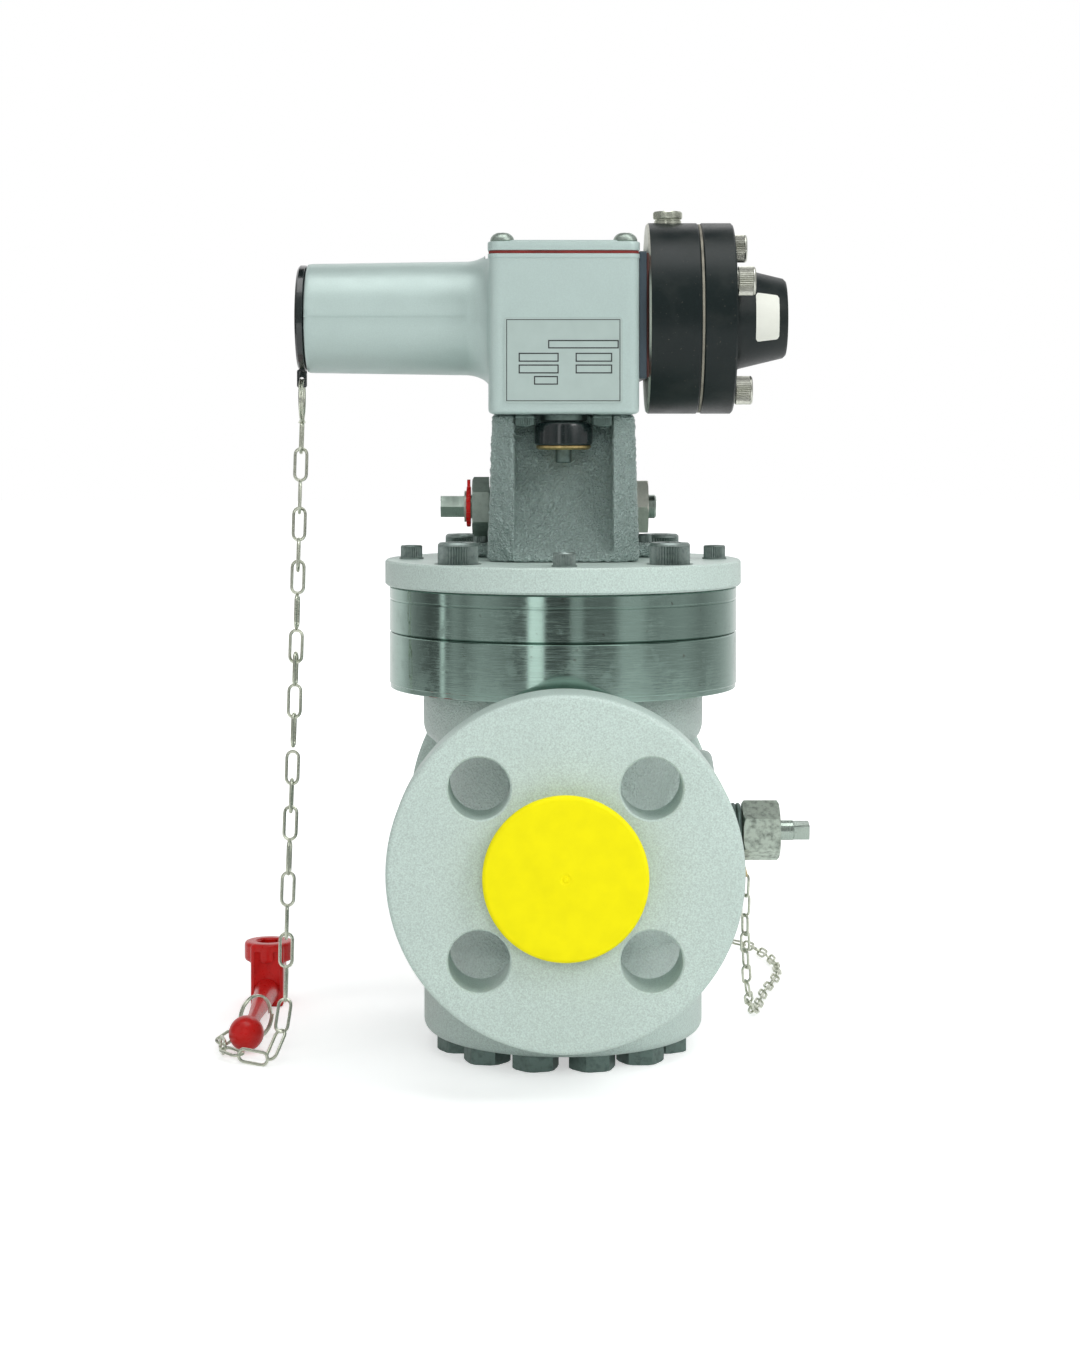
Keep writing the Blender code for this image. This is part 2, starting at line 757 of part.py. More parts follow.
def make_body(looks, root):
    run = rod(HUB_D / 2, -HUB_END, HUB_END, "Y", MEDIUM_STEPS)
    body = piece("valve_body", run, looks["paint"], root, (0, 0, PIPE_Z))

    foot_top = BODY_Z + BODY_FOOT_T - PIPE_Z
    foot = BOTTOM_COVER_D / 2
    bulb = BULB_D / 2
    neck = NECK_D / 2
    neck_z = NECK_ABOVE_PIPE
    ring = RING_D / 2
    ring_z = RING_Z - PIPE_Z
    top = BODY_TOP - PIPE_Z
    casting = [
        (0, BODY_Z - PIPE_Z),
        (foot, BODY_Z - PIPE_Z),
        (foot, foot_top),
        (bulb, foot_top + (foot - bulb)),
        (bulb, neck_z - (neck - bulb)),
        *round_corner(
            neck - (neck - bulb) / 2, neck_z, neck, neck_z + NECK_ROUND, neck, neck_z
        ),
        (neck, ring_z),
        (ring - RING_CHAMFER, ring_z),
        (ring, ring_z + RING_CHAMFER),
        (ring, top),
        (0, top),
    ]
    place = (0, 0, PIPE_Z)
    bulb_shape = helper("body_casting", turned(casting), root, place)
    boss = BOSS_D / 2
    boss_shape = helper(
        "body_boss",
        turned(
            [
                (0, 0),
                (boss, 0),
                (boss, BOSS_REACH - BOSS_ROUND),
                (boss - BOSS_ROUND, BOSS_REACH),
                (0, BOSS_REACH),
            ],
            "X",
            MEDIUM_STEPS,
        ),
        root,
        place,
    )
    join(body, bulb_shape, boss_shape)

    chamber = CHAMBER_D / 2
    upper = drill(chamber, WEB_ABOVE_PIPE, top + 10 * MM, "Z", MEDIUM_STEPS)
    lower = drill(chamber, BODY_Z - PIPE_Z - 10 * MM, -WEB_BELOW_PIPE, "Z", MEDIUM_STEPS)
    cut(
        body,
        helper("upper_chamber_cutter", upper, root, place),
        helper("lower_chamber_cutter", lower, root, place),
    )
    seat_hole = drill(
        SEAT_OD / 2 + BORE_GAP,
        -WEB_BELOW_PIPE - 5 * MM,
        WEB_ABOVE_PIPE + 5 * MM,
        "Z",
        MEDIUM_STEPS,
    )
    cut(body, helper("seat_hole_cutter", seat_hole, root, place))

    for side, rise in ((-1, ELBOW_RISE), (1, -ELBOW_DROP)):
        end = "inlet" if side < 0 else "outlet"
        straight = drill(
            PIPE_BORE / 2,
            side * (ELBOW_FROM_CENTRE - 5 * MM),
            side * (HUB_END + 5 * MM),
            "Y",
            SMALL_STEPS,
        )
        run_in = ELBOW_FROM_CENTRE - CHAMBER_D / 4
        slope = math.degrees(math.atan2(rise, run_in))
        length = math.hypot(rise, run_in)
        elbow = rod(PIPE_BORE / 2 - 0.2 * MM, 0, -side * length, "Y", SMALL_STEPS)
        tilted(elbow, -side * slope, "X")
        moved(elbow, y=side * ELBOW_FROM_CENTRE)
        cut(
            body,
            helper(f"{end}_bore_cutter", straight, root, place),
            helper(f"{end}_elbow_cutter", elbow, root, place),
        )

    bottom_holes = patterned(
        lambda: drill(
            BOTTOM_BOLT_D / 2 + BORE_GAP,
            BODY_Z - PIPE_Z - 5 * MM,
            BODY_Z - PIPE_Z + BOTTOM_BOLT_REACH + 2 * MM,
            "Z",
            TINY_STEPS,
        ),
        bottom_bolt_places(),
    )
    screw_holes = patterned(
        lambda: drill(
            COVER_SCREW_D / 2 + BORE_GAP,
            top - COVER_SCREW_REACH - 2 * MM,
            top + 5 * MM,
            "Z",
            TINY_STEPS,
        ),
        cover_screw_places(),
    )
    needle_port = drill(NEEDLE_PORT_D / 2, 0, NEEDLE_SEAT_X + 2 * MM, "X", TINY_STEPS)
    bonnet_hole = drill(
        BONNET_SLEEVE_D / 2 + BORE_GAP,
        NEEDLE_SEAT_X,
        BOSS_REACH + 5 * MM,
        "X",
        SMALL_STEPS,
    )
    cut(
        body,
        helper("bottom_bolt_holes", bottom_holes, root, place),
        helper("cover_screw_holes", screw_holes, root, place),
        helper("needle_port_cutter", needle_port, root, place),
        helper("bonnet_hole_cutter", bonnet_hole, root, place),
    )


def bottom_bolt_places():
    return on_circle(BOTTOM_BOLTS, BOTTOM_BOLT_CIRCLE / 2, 90 + 180 / BOTTOM_BOLTS)


def cover_screw_places():
    return [
        (x * COVER_SCREW_SPREAD, y * COVER_SCREW_SPREAD)
        for x, y in ((-1, -1), (1, -1), (1, 1), (-1, 1))
    ]


def make_bottom_cover(looks, root):
    """The cover with its twelve bolts, whose heads the valve stands on."""
    rim = BOTTOM_COVER_D / 2
    edge = BOTTOM_COVER_EDGE
    cover = piece(
        "bottom_cover",
        turned(
            [
                (0, 0),
                *round_corner(rim - edge, 0, rim, edge, rim, 0),
                (rim, BOTTOM_COVER_T),
                (SPIGOT_D / 2, BOTTOM_COVER_T),
                (SPIGOT_D / 2, BOTTOM_COVER_T + SPIGOT_H),
                (0, BOTTOM_COVER_T + SPIGOT_H),
            ]
        ),
        looks["paint"],
        root,
        (0, 0, BOTTOM_COVER_Z),
    )
    sunk = 1 * MM
    heads = patterned(
        lambda: hexagon(BOTTOM_BOLT_AF, -BOTTOM_BOLT_HEAD, sunk), bottom_bolt_places()
    )
    shanks = patterned(
        lambda: rod(
            BOTTOM_BOLT_D / 2,
            BOTTOM_COVER_T - sunk,
            BOTTOM_COVER_T + GAP + BOTTOM_BOLT_REACH,
            "Z",
            TINY_STEPS,
        ),
        bottom_bolt_places(),
    )
    place = (0, 0, BOTTOM_COVER_Z)
    join(
        cover,
        helper("bottom_bolt_heads", heads, root, place),
        helper("bottom_bolt_shanks", shanks, root, place),
    )


def make_upper_ring(looks, root):
    rim = RING_D / 2
    groove_top = UPPER_RING_T - GROOVE_BELOW_TOP
    place = (0, 0, UPPER_RING_Z)
    ring = piece(
        "upper_ring",
        turned(
            [
                (CHAMBER_D / 2, 0),
                (rim, 0),
                (rim, groove_top - GROOVE_W),
                (rim - GROOVE_DEPTH, groove_top - GROOVE_W),
                (rim - GROOVE_DEPTH, groove_top),
                (rim, groove_top),
                (rim, UPPER_RING_T),
                (CHAMBER_D / 2, UPPER_RING_T),
            ],
            ring=True,
        ),
        looks["steel"],
        root,
        place,
    )
    holes = patterned(
        lambda: drill(
            COVER_SCREW_D / 2 + BORE_GAP, -5 * MM, UPPER_RING_T + 5 * MM, "Z", TINY_STEPS
        ),
        cover_screw_places(),
    )
    cut(ring, helper("upper_ring_holes", holes, root, place))


def make_top_cover(looks, root):
    rim = TOP_COVER_D / 2
    chamfer = TOP_COVER_CHAMFER
    place = (0, 0, TOP_COVER_Z)
    cover = piece(
        "top_cover",
        turned(
            [
                (GUIDE_OD / 2 + BORE_GAP, -TOP_SPIGOT_H),
                (SPIGOT_D / 2, -TOP_SPIGOT_H),
                (SPIGOT_D / 2, 0),
                (rim - chamfer, 0),
                (rim, chamfer),
                (rim, TOP_COVER_T - chamfer),
                (rim - chamfer, TOP_COVER_T),
                (GUIDE_OD / 2 + BORE_GAP, TOP_COVER_T),
            ],
            ring=True,
        ),
        looks["paint"],
        root,
        place,
    )
    holes = patterned(
        lambda: drill(
            COVER_SCREW_D / 2 + BORE_GAP, -5 * MM, TOP_COVER_T + 5 * MM, "Z", TINY_STEPS
        ),
        cover_screw_places(),
    )
    sinks = patterned(
        lambda: drill(
            COVER_SCREW_HEAD_D / 2 + 1 * MM,
            TOP_COVER_T - COVER_SCREW_SINK,
            TOP_COVER_T + 5 * MM,
        ),
        cover_screw_places(),
    )
    cut(
        cover,
        helper("top_cover_holes", holes, root, place),
        helper("top_cover_counterbores", sinks, root, place),
    )
    seat = TOP_COVER_TOP - COVER_SCREW_SINK + GAP
    for i, (x, y) in enumerate(cover_screw_places(), start=1):
        cap_screw(
            f"cover_screw_{i}",
            COVER_SCREW_D,
            COVER_SCREW_HEAD_D,
            COVER_SCREW_HEAD_H,
            seat - BODY_TOP + COVER_SCREW_REACH,
            looks["dark_zinc"],
            root,
            (x, y, seat),
        )


def make_seat(looks, root):
    outer = SEAT_OD / 2
    bore = SEAT_BORE / 2
    bottom = WEB_BOTTOM - WEB_TOP
    piece(
        "seat_ring",
        turned(
            [
                (bore, bottom),
                (outer, bottom),
                (outer, 0),
                (bore + SEAT_LIP_T, 1 * MM),
                (bore + SEAT_LIP_T, SEAT_LIP),
                (bore, SEAT_LIP),
            ],
            "Z",
            MEDIUM_STEPS,
            ring=True,
        ),
        looks["brass"],
        root,
        (0, 0, WEB_TOP),
    )


def make_plug(looks, lift):
    """The plug, its seal and the stem with the block that the cam lifts."""
    bore = STEM_D / 2 + RUNNING_GAP
    seal_in = SEAT_BORE / 2 - (SEAL_W - SEAT_LIP_T) / 2
    seal_out = seal_in + SEAL_W
    seal_top = SEAL_T - SEAL_STANDS_OUT + GAP
    rim = PLUG_D / 2
    hub = PLUG_HUB_D / 2
    stem_foot = PLUG_T / 2
    piece(
        "plug",
        turned(
            [
                (0, 0),
                (seal_in - GAP, 0),
                (seal_in - GAP, seal_top),
                (seal_out + GAP, seal_top),
                (seal_out + GAP, 0),
                (rim - 1 * MM, 0),
                (rim, 1 * MM),
                (rim, PLUG_T),
                (hub, PLUG_T),
                (hub, PLUG_T + PLUG_HUB_H),
                (bore, PLUG_T + PLUG_HUB_H),
                (bore, stem_foot),
                (0, stem_foot),
            ],
            "Z",
            MEDIUM_STEPS,
        ),
        looks["steel"],
        lift,
        (0, 0, PLUG_Z),
    )
    piece(
        "plug_seal",
        tube(seal_out, seal_in, 0, SEAL_T, "Z", MEDIUM_STEPS),
        looks["rubber"],
        lift,
        (0, 0, SEAL_BOTTOM),
    )
    foot = PLUG_Z + stem_foot + GAP
    neck_top = STEM_TOP - LATCH_HEAD_H
    neck_bottom = neck_top - LATCH_NECK_H
    stem = piece(
        "plug_stem",
        turned(
            [
                (STEM_D / 2, foot),
                (STEM_D / 2, neck_bottom),
                (LATCH_NECK_D / 2, neck_bottom),
                (LATCH_NECK_D / 2, neck_top),
                (STEM_D / 2, neck_top),
                (STEM_D / 2, STEM_TOP - 1 * MM),
                (STEM_D / 2 - 1 * MM, STEM_TOP),
            ],
            "Z",
            SMALL_STEPS,
        ),
        looks["steel"],
        lift,
    )
    lifted_block = block(
        (-BLOCK_HALF, -BLOCK_DEPTH_HALF, -BLOCK_H / 2),
        (BLOCK_HALF, BLOCK_DEPTH_HALF, BLOCK_H / 2),
    )
    join(stem, helper("stem_block", lifted_block, lift, (0, 0, CAM_PIN_Z)))
    slot = CAM_PIN_D / 2 + RUNNING_GAP
    groove = block(
        (BLOCK_HALF - BLOCK_GROOVE, -BLOCK_DEPTH_HALF - 5 * MM, -slot),
        (BLOCK_HALF + 5 * MM, BLOCK_DEPTH_HALF + 5 * MM, slot),
    )
    cut(stem, helper("block_groove_cutter", groove, lift, (0, 0, CAM_PIN_Z)))


def make_guide_and_spring(looks, root):
    bore = STEM_D / 2 + BORE_GAP
    flange_top = TOP_SPIGOT_BOTTOM - GAP
    piece(
        "stem_guide",
        turned(
            [
                (bore, flange_top - GUIDE_FLANGE_T),
                (GUIDE_FLANGE_D / 2, flange_top - GUIDE_FLANGE_T),
                (GUIDE_FLANGE_D / 2, flange_top),
                (GUIDE_OD / 2, flange_top),
                (GUIDE_OD / 2, TOP_COVER_TOP),
                (bore, TOP_COVER_TOP),
            ],
            "Z",
            SMALL_STEPS,
            ring=True,
        ),
        looks["brass"],
        root,
    )
    coil(
        "closing_spring",
        CLOSING_SPRING_R,
        CLOSING_WIRE,
        PLUG_TOP + CLOSING_WIRE / 2 + GAP,
        TOP_SPIGOT_BOTTOM - CLOSING_WIRE / 2 - GAP,
        CLOSING_TURNS,
        "Z",
        looks["spring"],
        root,
        (0, 0, 0),
    )


def make_tower(looks, root):
    """The rough casting that carries the trip box, open at the back over the cam."""
    bm = block(
        (-TOWER_FOOT_HALF, -TOWER_DEPTH_HALF, 0),
        (TOWER_FOOT_HALF, TOWER_DEPTH_HALF, TOWER_H),
    )
    for vertex in bm.verts:
        if vertex.co.z > TOWER_H / 2:
            vertex.co.x *= TOWER_TOP_HALF / TOWER_FOOT_HALF
    uprights = [e for e in bm.edges if abs(e.verts[0].co.z - e.verts[1].co.z) > 1 * MM]
    bmesh.ops.bevel(
        bm, geom=uprights, offset=TOWER_EDGE, segments=2, profile=0.5, affect="EDGES"
    )
    place = (0, 0, TOWER_Z)
    tower = piece("tower", bm, looks["casting"], root, place)
    foot = block((-FOOT_HALF, FOOT_FRONT, 0), (FOOT_HALF, FOOT_BACK, FOOT_H))
    join(tower, helper("tower_feet", foot, root, place))

    front = -TOWER_DEPTH_HALF
    steps = 6
    curve = []
    for i in range(steps + 1):
        turn = math.pi / 2 * i / steps
        depth = RECESS_DEPTH * math.sin(turn)
        height = RECESS_FOOT + RECESS_CURVE_H * (1 - math.cos(turn))
        curve.append((front + depth, height))
    outline = [
        (front - 5 * MM, RECESS_FOOT),
        *curve,
        (front + RECESS_DEPTH, TOWER_H + 5 * MM),
        (front - 5 * MM, TOWER_H + 5 * MM),
    ]
    recess = bmesh.new()
    sides = [
        [recess.verts.new((x, y, z)) for y, z in outline]
        for x in (-RECESS_HALF, RECESS_HALF)
    ]
    recess.faces.new(sides[0])
    recess.faces.new(sides[1])
    for i in range(len(outline)):
        j = (i + 1) % len(outline)
        recess.faces.new((sides[0][i], sides[0][j], sides[1][j], sides[1][i]))
    cavity = block(
        (-CAVITY_LEFT, -BLOCK_DEPTH_HALF - 2 * BORE_GAP, CAVITY_FLOOR),
        (CAVITY_RIGHT, TOWER_DEPTH_HALF + 5 * MM, TOWER_H - WINDOW_TOP_WEB),
    )
    stem_hole = drill(STEM_D / 2 + BORE_GAP, -5 * MM, TOWER_H + 5 * MM)
    sleeve_hole = drill(
        NUT_SLEEVE_D / 2 + BORE_GAP, -FOOT_HALF, FOOT_HALF, "X", SMALL_STEPS
    )
    moved(sleeve_hole, y=SHAFT_BEHIND_STEM, z=SHAFT_ABOVE_TOWER_FOOT)
    cut(
        tower,
        helper("tower_recess_cutter", recess, root, place),
        helper("tower_cavity_cutter", cavity, root, place),
        helper("tower_stem_hole", stem_hole, root, place),
        helper("tower_shaft_hole", sleeve_hole, root, place),
    )


def make_shaft_nut(name, thickness, sign, phase, looks, root):
    """A hexagon bush that screws into the tower's wall and carries the shaft."""
    inner = NUT_FACE - GAP - NUT_SLEEVE_L
    outer = NUT_FACE + thickness
    place = (0, SHAFT_BEHIND_STEM, SHAFT_Z)
    nut = piece(
        name,
        hexagon(NUT_AF, sign * NUT_FACE, sign * outer, "X", phase=phase),
        looks["zinc"],
        root,
        place,
    )
    sleeve = rod(
        NUT_SLEEVE_D / 2, sign * inner, sign * (NUT_FACE + 1 * MM), "X", SMALL_STEPS
    )
    bore = drill(
        SHAFT_D / 2 + RUNNING_GAP,
        sign * (inner - 5 * MM),
        sign * (outer + 5 * MM),
        "X",
        SMALL_STEPS,
    )
    join(nut, helper(f"{name}_sleeve", sleeve, root, place))
    cut(nut, helper(f"{name}_bore", bore, root, place))


def make_shaft(looks, turn):
    """The reset shaft with its cam lever and the red indicator, all on the shaft's pivot."""
    shaft = piece(
        "reset_shaft",
        rod(SHAFT_D / 2, SHAFT_ROUND_END, SHAFT_RIGHT_END, "X", SMALL_STEPS),
        looks["steel"],
        turn,
    )
    flats = hexagon(
        SHAFT_HEX_AF,
        SHAFT_ROUND_END - SHAFT_HEX_L,
        SHAFT_ROUND_END + 1 * MM,
        "X",
        phase=math.radians(30),
    )
    join(shaft, helper("shaft_flats", flats, turn))

    bore = SHAFT_D / 2 + RUNNING_GAP
    cam = piece(
        "cam_lever",
        rod(CAM_HUB_D / 2, CAM_X, CAM_X + 2 * CAM_T, "X", SMALL_STEPS),
        looks["steel"],
        turn,
    )
    arm = block(
        (CAM_X, -SHAFT_BEHIND_STEM, -CAM_PIN_D / 2 - 0.8 * MM),
        (CAM_X + CAM_T, 0, CAM_PIN_D / 2 + 0.8 * MM),
    )
    tip = rod(CAM_PIN_D / 2 + 1 * MM, CAM_X, CAM_X + CAM_T, "X", TINY_STEPS)
    pin = rod(CAM_PIN_D / 2, CAM_X - CAM_PIN_L, CAM_X + 1 * MM, "X", TINY_STEPS)
    moved(tip, y=-SHAFT_BEHIND_STEM)
    moved(pin, y=-SHAFT_BEHIND_STEM)
    for shape in (arm, tip, pin):
        tilted(shape, CAM_START_DEG, "X")
    hole = drill(bore, CAM_X - 5 * MM, CAM_X + 3 * CAM_T, "X", SMALL_STEPS)
    join(
        cam,
        helper("cam_arm", arm, turn),
        helper("cam_arm_tip", tip, turn),
        helper("cam_pin", pin, turn),
    )
    cut(cam, helper("cam_bore", hole, turn))

    disc = piece(
        "position_indicator",
        tube(INDICATOR_D / 2, bore, INDICATOR_X - INDICATOR_T, INDICATOR_X, "X"),
        looks["red"],
        turn,
    )
    lug = block(
        (INDICATOR_X - INDICATOR_T, -4 * MM, (bore + INDICATOR_D / 2) / 2),
        (INDICATOR_X, 4 * MM, INDICATOR_LUG),
    )
    join(disc, helper("indicator_lug", lug, turn))


def make_box(looks, root):
    """The die-cast trip box in one piece with the spring tube."""
    low = (-BOX_HALF_W, -BOX_HALF_D, BOX_Z)
    high = (BOX_HALF_W, BOX_HALF_D, BOX_TOP)
    box = piece("trip_box", block(low, high, BOX_EDGE, "Z"), looks["paint"], root)
    tube_shape = turned(
        [
            (0, TUBE_END),
            (TUBE_END_D / 2 - 1 * MM, TUBE_END),
            (TUBE_END_D / 2, TUBE_END + 1 * MM),
            (TUBE_ROOT_D / 2, -BOX_HALF_W - TUBE_FLARE_L),
            *round_corner(
                TUBE_ROOT_D / 2 + 0.2 * MM,
                -BOX_HALF_W - TUBE_FLARE_L + 1 * MM,
                TUBE_FLARE_D / 2,
                -BOX_HALF_W,
                TUBE_ROOT_D / 2,
                -BOX_HALF_W,
                3,
            ),
            (TUBE_FLARE_D / 2, -BOX_HALF_W + 2 * MM),
            (0, -BOX_HALF_W + 2 * MM),
        ],
        "X",
        MEDIUM_STEPS,
    )
    wall = BOX_WALL
    cavity = block(
        (-BOX_HALF_W + wall, -BOX_HALF_D + wall, BOX_FLOOR_Z),
        (BOX_HALF_W - wall, BOX_HALF_D - wall, BOX_TOP + 10 * MM),
    )
    half_step = math.pi / MEDIUM_STEPS
    bore = drill(
        TUBE_BORE / 2,
        TUBE_END - 10 * MM,
        TUBE_FLOOR,
        "X",
        MEDIUM_STEPS,
        phase=half_step,
    )
    stem_bore = drill(
        SENSING_STEM_D / 2 + BORE_GAP,
        TUBE_FLOOR - 5 * MM,
        BOX_HALF_W + 5 * MM,
        "X",
        TINY_STEPS,
    )
    plug_bore = drill(STEM_D / 2 + BORE_GAP, BOX_Z - 5 * MM, BOX_FLOOR_Z + 5 * MM)
    pin_bore = drill(TRIP_PIN_D / 2 + BORE_GAP, BOX_Z - 5 * MM, BOX_FLOOR_Z + 5 * MM)
    place = (0, 0, SENSING_Z)
    join(box, helper("tube_shape", tube_shape, root, place))
    cut(
        box,
        helper("box_cavity_cutter", cavity, root),
        helper("stem_bore_cutter", stem_bore, root, place),
        helper("tube_bore_cutter", bore, root, place),
        helper("plug_stem_bore_cutter", plug_bore, root),
        helper("trip_pin_bore_cutter", pin_bore, root, (0, -BUTTON_BEFORE_CENTRE, 0)),
    )
    back = -LEVER_FRONT + LEVER_T
    pivot_z = BOX_FLOOR_Z + LEVER_PIVOT_ABOVE_FLOOR
    lugs = merged(
        *[
            block(
                (LEVER_PIVOT_X - LUG_HALF_W, y, BOX_FLOOR_Z - 1 * MM),
                (LEVER_PIVOT_X + LUG_HALF_W, y + LUG_T, pivot_z + LUG_ABOVE_PIVOT),
            )
            for y in (back + RUNNING_GAP, -LEVER_FRONT - RUNNING_GAP - LUG_T)
        ]
    )
    pivot_hole = drill(
        LEVER_PIVOT_D / 2 + RUNNING_GAP,
        -LEVER_FRONT - 3 * LUG_T,
        3 * LUG_T,
        "Y",
        TINY_STEPS,
    )
    join(box, helper("box_lugs", lugs, root))
    cut(box, helper("pivot_hole_cutter", pivot_hole, root, (LEVER_PIVOT_X, 0, pivot_z)))


def make_box_lid(looks, root):
    z = BOX_TOP + GAP
    gasket = piece(
        "box_gasket",
        block(
            (-BOX_HALF_W, -BOX_HALF_D, z),
            (BOX_HALF_W, BOX_HALF_D, z + BOX_GASKET_T),
            BOX_EDGE,
            "Z",
        ),
        looks["red"],
        root,
    )
    hole = block(
        (-BOX_HALF_W + BOX_WALL, -BOX_HALF_D + BOX_WALL, z - 5 * MM),
        (BOX_HALF_W - BOX_WALL, BOX_HALF_D - BOX_WALL, z + 5 * MM),
    )
    cut(gasket, helper("box_gasket_cutter", hole, root))
    z += BOX_GASKET_T + GAP
    cover = piece(
        "box_cover",
        block(
            (-BOX_HALF_W, -BOX_HALF_D, z),
            (BOX_HALF_W, BOX_HALF_D, z + BOX_COVER_T),
            BOX_EDGE,
            "Z",
        ),
        looks["paint"],
        root,
    )
    top = z + BOX_COVER_T
    r = COVER_DOME_D / 2
    domes = patterned(
        lambda: turned(
            [
                (0, top - 1 * MM),
                (r, top - 1 * MM),
                (r, top + COVER_DOME_H / 3),
                (r * 0.7, top + COVER_DOME_H),
                (0, top + COVER_DOME_H),
            ],
            "Z",
            SMALL_STEPS,
        ),
        [(-COVER_DOME_SPREAD, 0), (COVER_DOME_SPREAD, 0)],
    )
    join(cover, helper("cover_domes", domes, root))


def make_tube_cap(looks, root):
    place = (0, 0, SENSING_Z)
    cap = piece(
        "tube_cap",
        rod(
            TUBE_END_D / 2 - 0.6 * MM,
            CAP_END,
            CAP_END + TUBE_CAP_T,
            "X",
            MEDIUM_STEPS,
            0.6 * MM,
        ),
        looks["black"],
        root,
        place,
    )
    eye_x = CAP_END - CAP_EYE_PROUD
    eye_z = -CAP_EYE_BELOW_AXIS
    tab = block(
        (eye_x, -CAP_EYE_T / 2, eye_z - CAP_EYE_HOLE / 2 - CAP_EYE_WALL),
        (eye_x + CAP_EYE_W, CAP_EYE_T / 2, -TUBE_END_D / 2 - GAP),
    )
    tab_root = block(
        (CAP_END + 0.7 * MM, -CAP_EYE_T / 2 + 0.2 * MM, -TUBE_END_D / 2 - 1 * MM),
        (
            CAP_END + TUBE_CAP_T - 0.7 * MM,
            CAP_EYE_T / 2 - 0.2 * MM,
            -TUBE_END_D / 2 + 3 * MM,
        ),
    )
    hole = drill(CAP_EYE_HOLE / 2, -CAP_EYE_T, CAP_EYE_T, "Y", TINY_STEPS)
    moved(hole, x=eye_x + CAP_EYE_W / 2, z=eye_z)
    join(
        cap,
        helper("cap_eye_root", tab_root, root, place),
        helper("cap_eye_tab", tab, root, place),
    )
    cut(cap, helper("cap_eye_hole", hole, root, place))


def head_screw_places():
    return on_circle(HEAD_SCREWS, HEAD_SCREW_CIRCLE / 2, 90 + HEAD_SCREW_TURN_DEG)


def head_screw_holes(start, end):
    """The through holes or threads of the head's screws, across the head's own axis."""
    return merged(
        *[
            moved(
                drill(HEAD_SCREW_D / 2 + BORE_GAP, start, end, "X", TINY_STEPS), y=-y, z=z
            )
            for y, z in head_screw_places()
        ]
    )


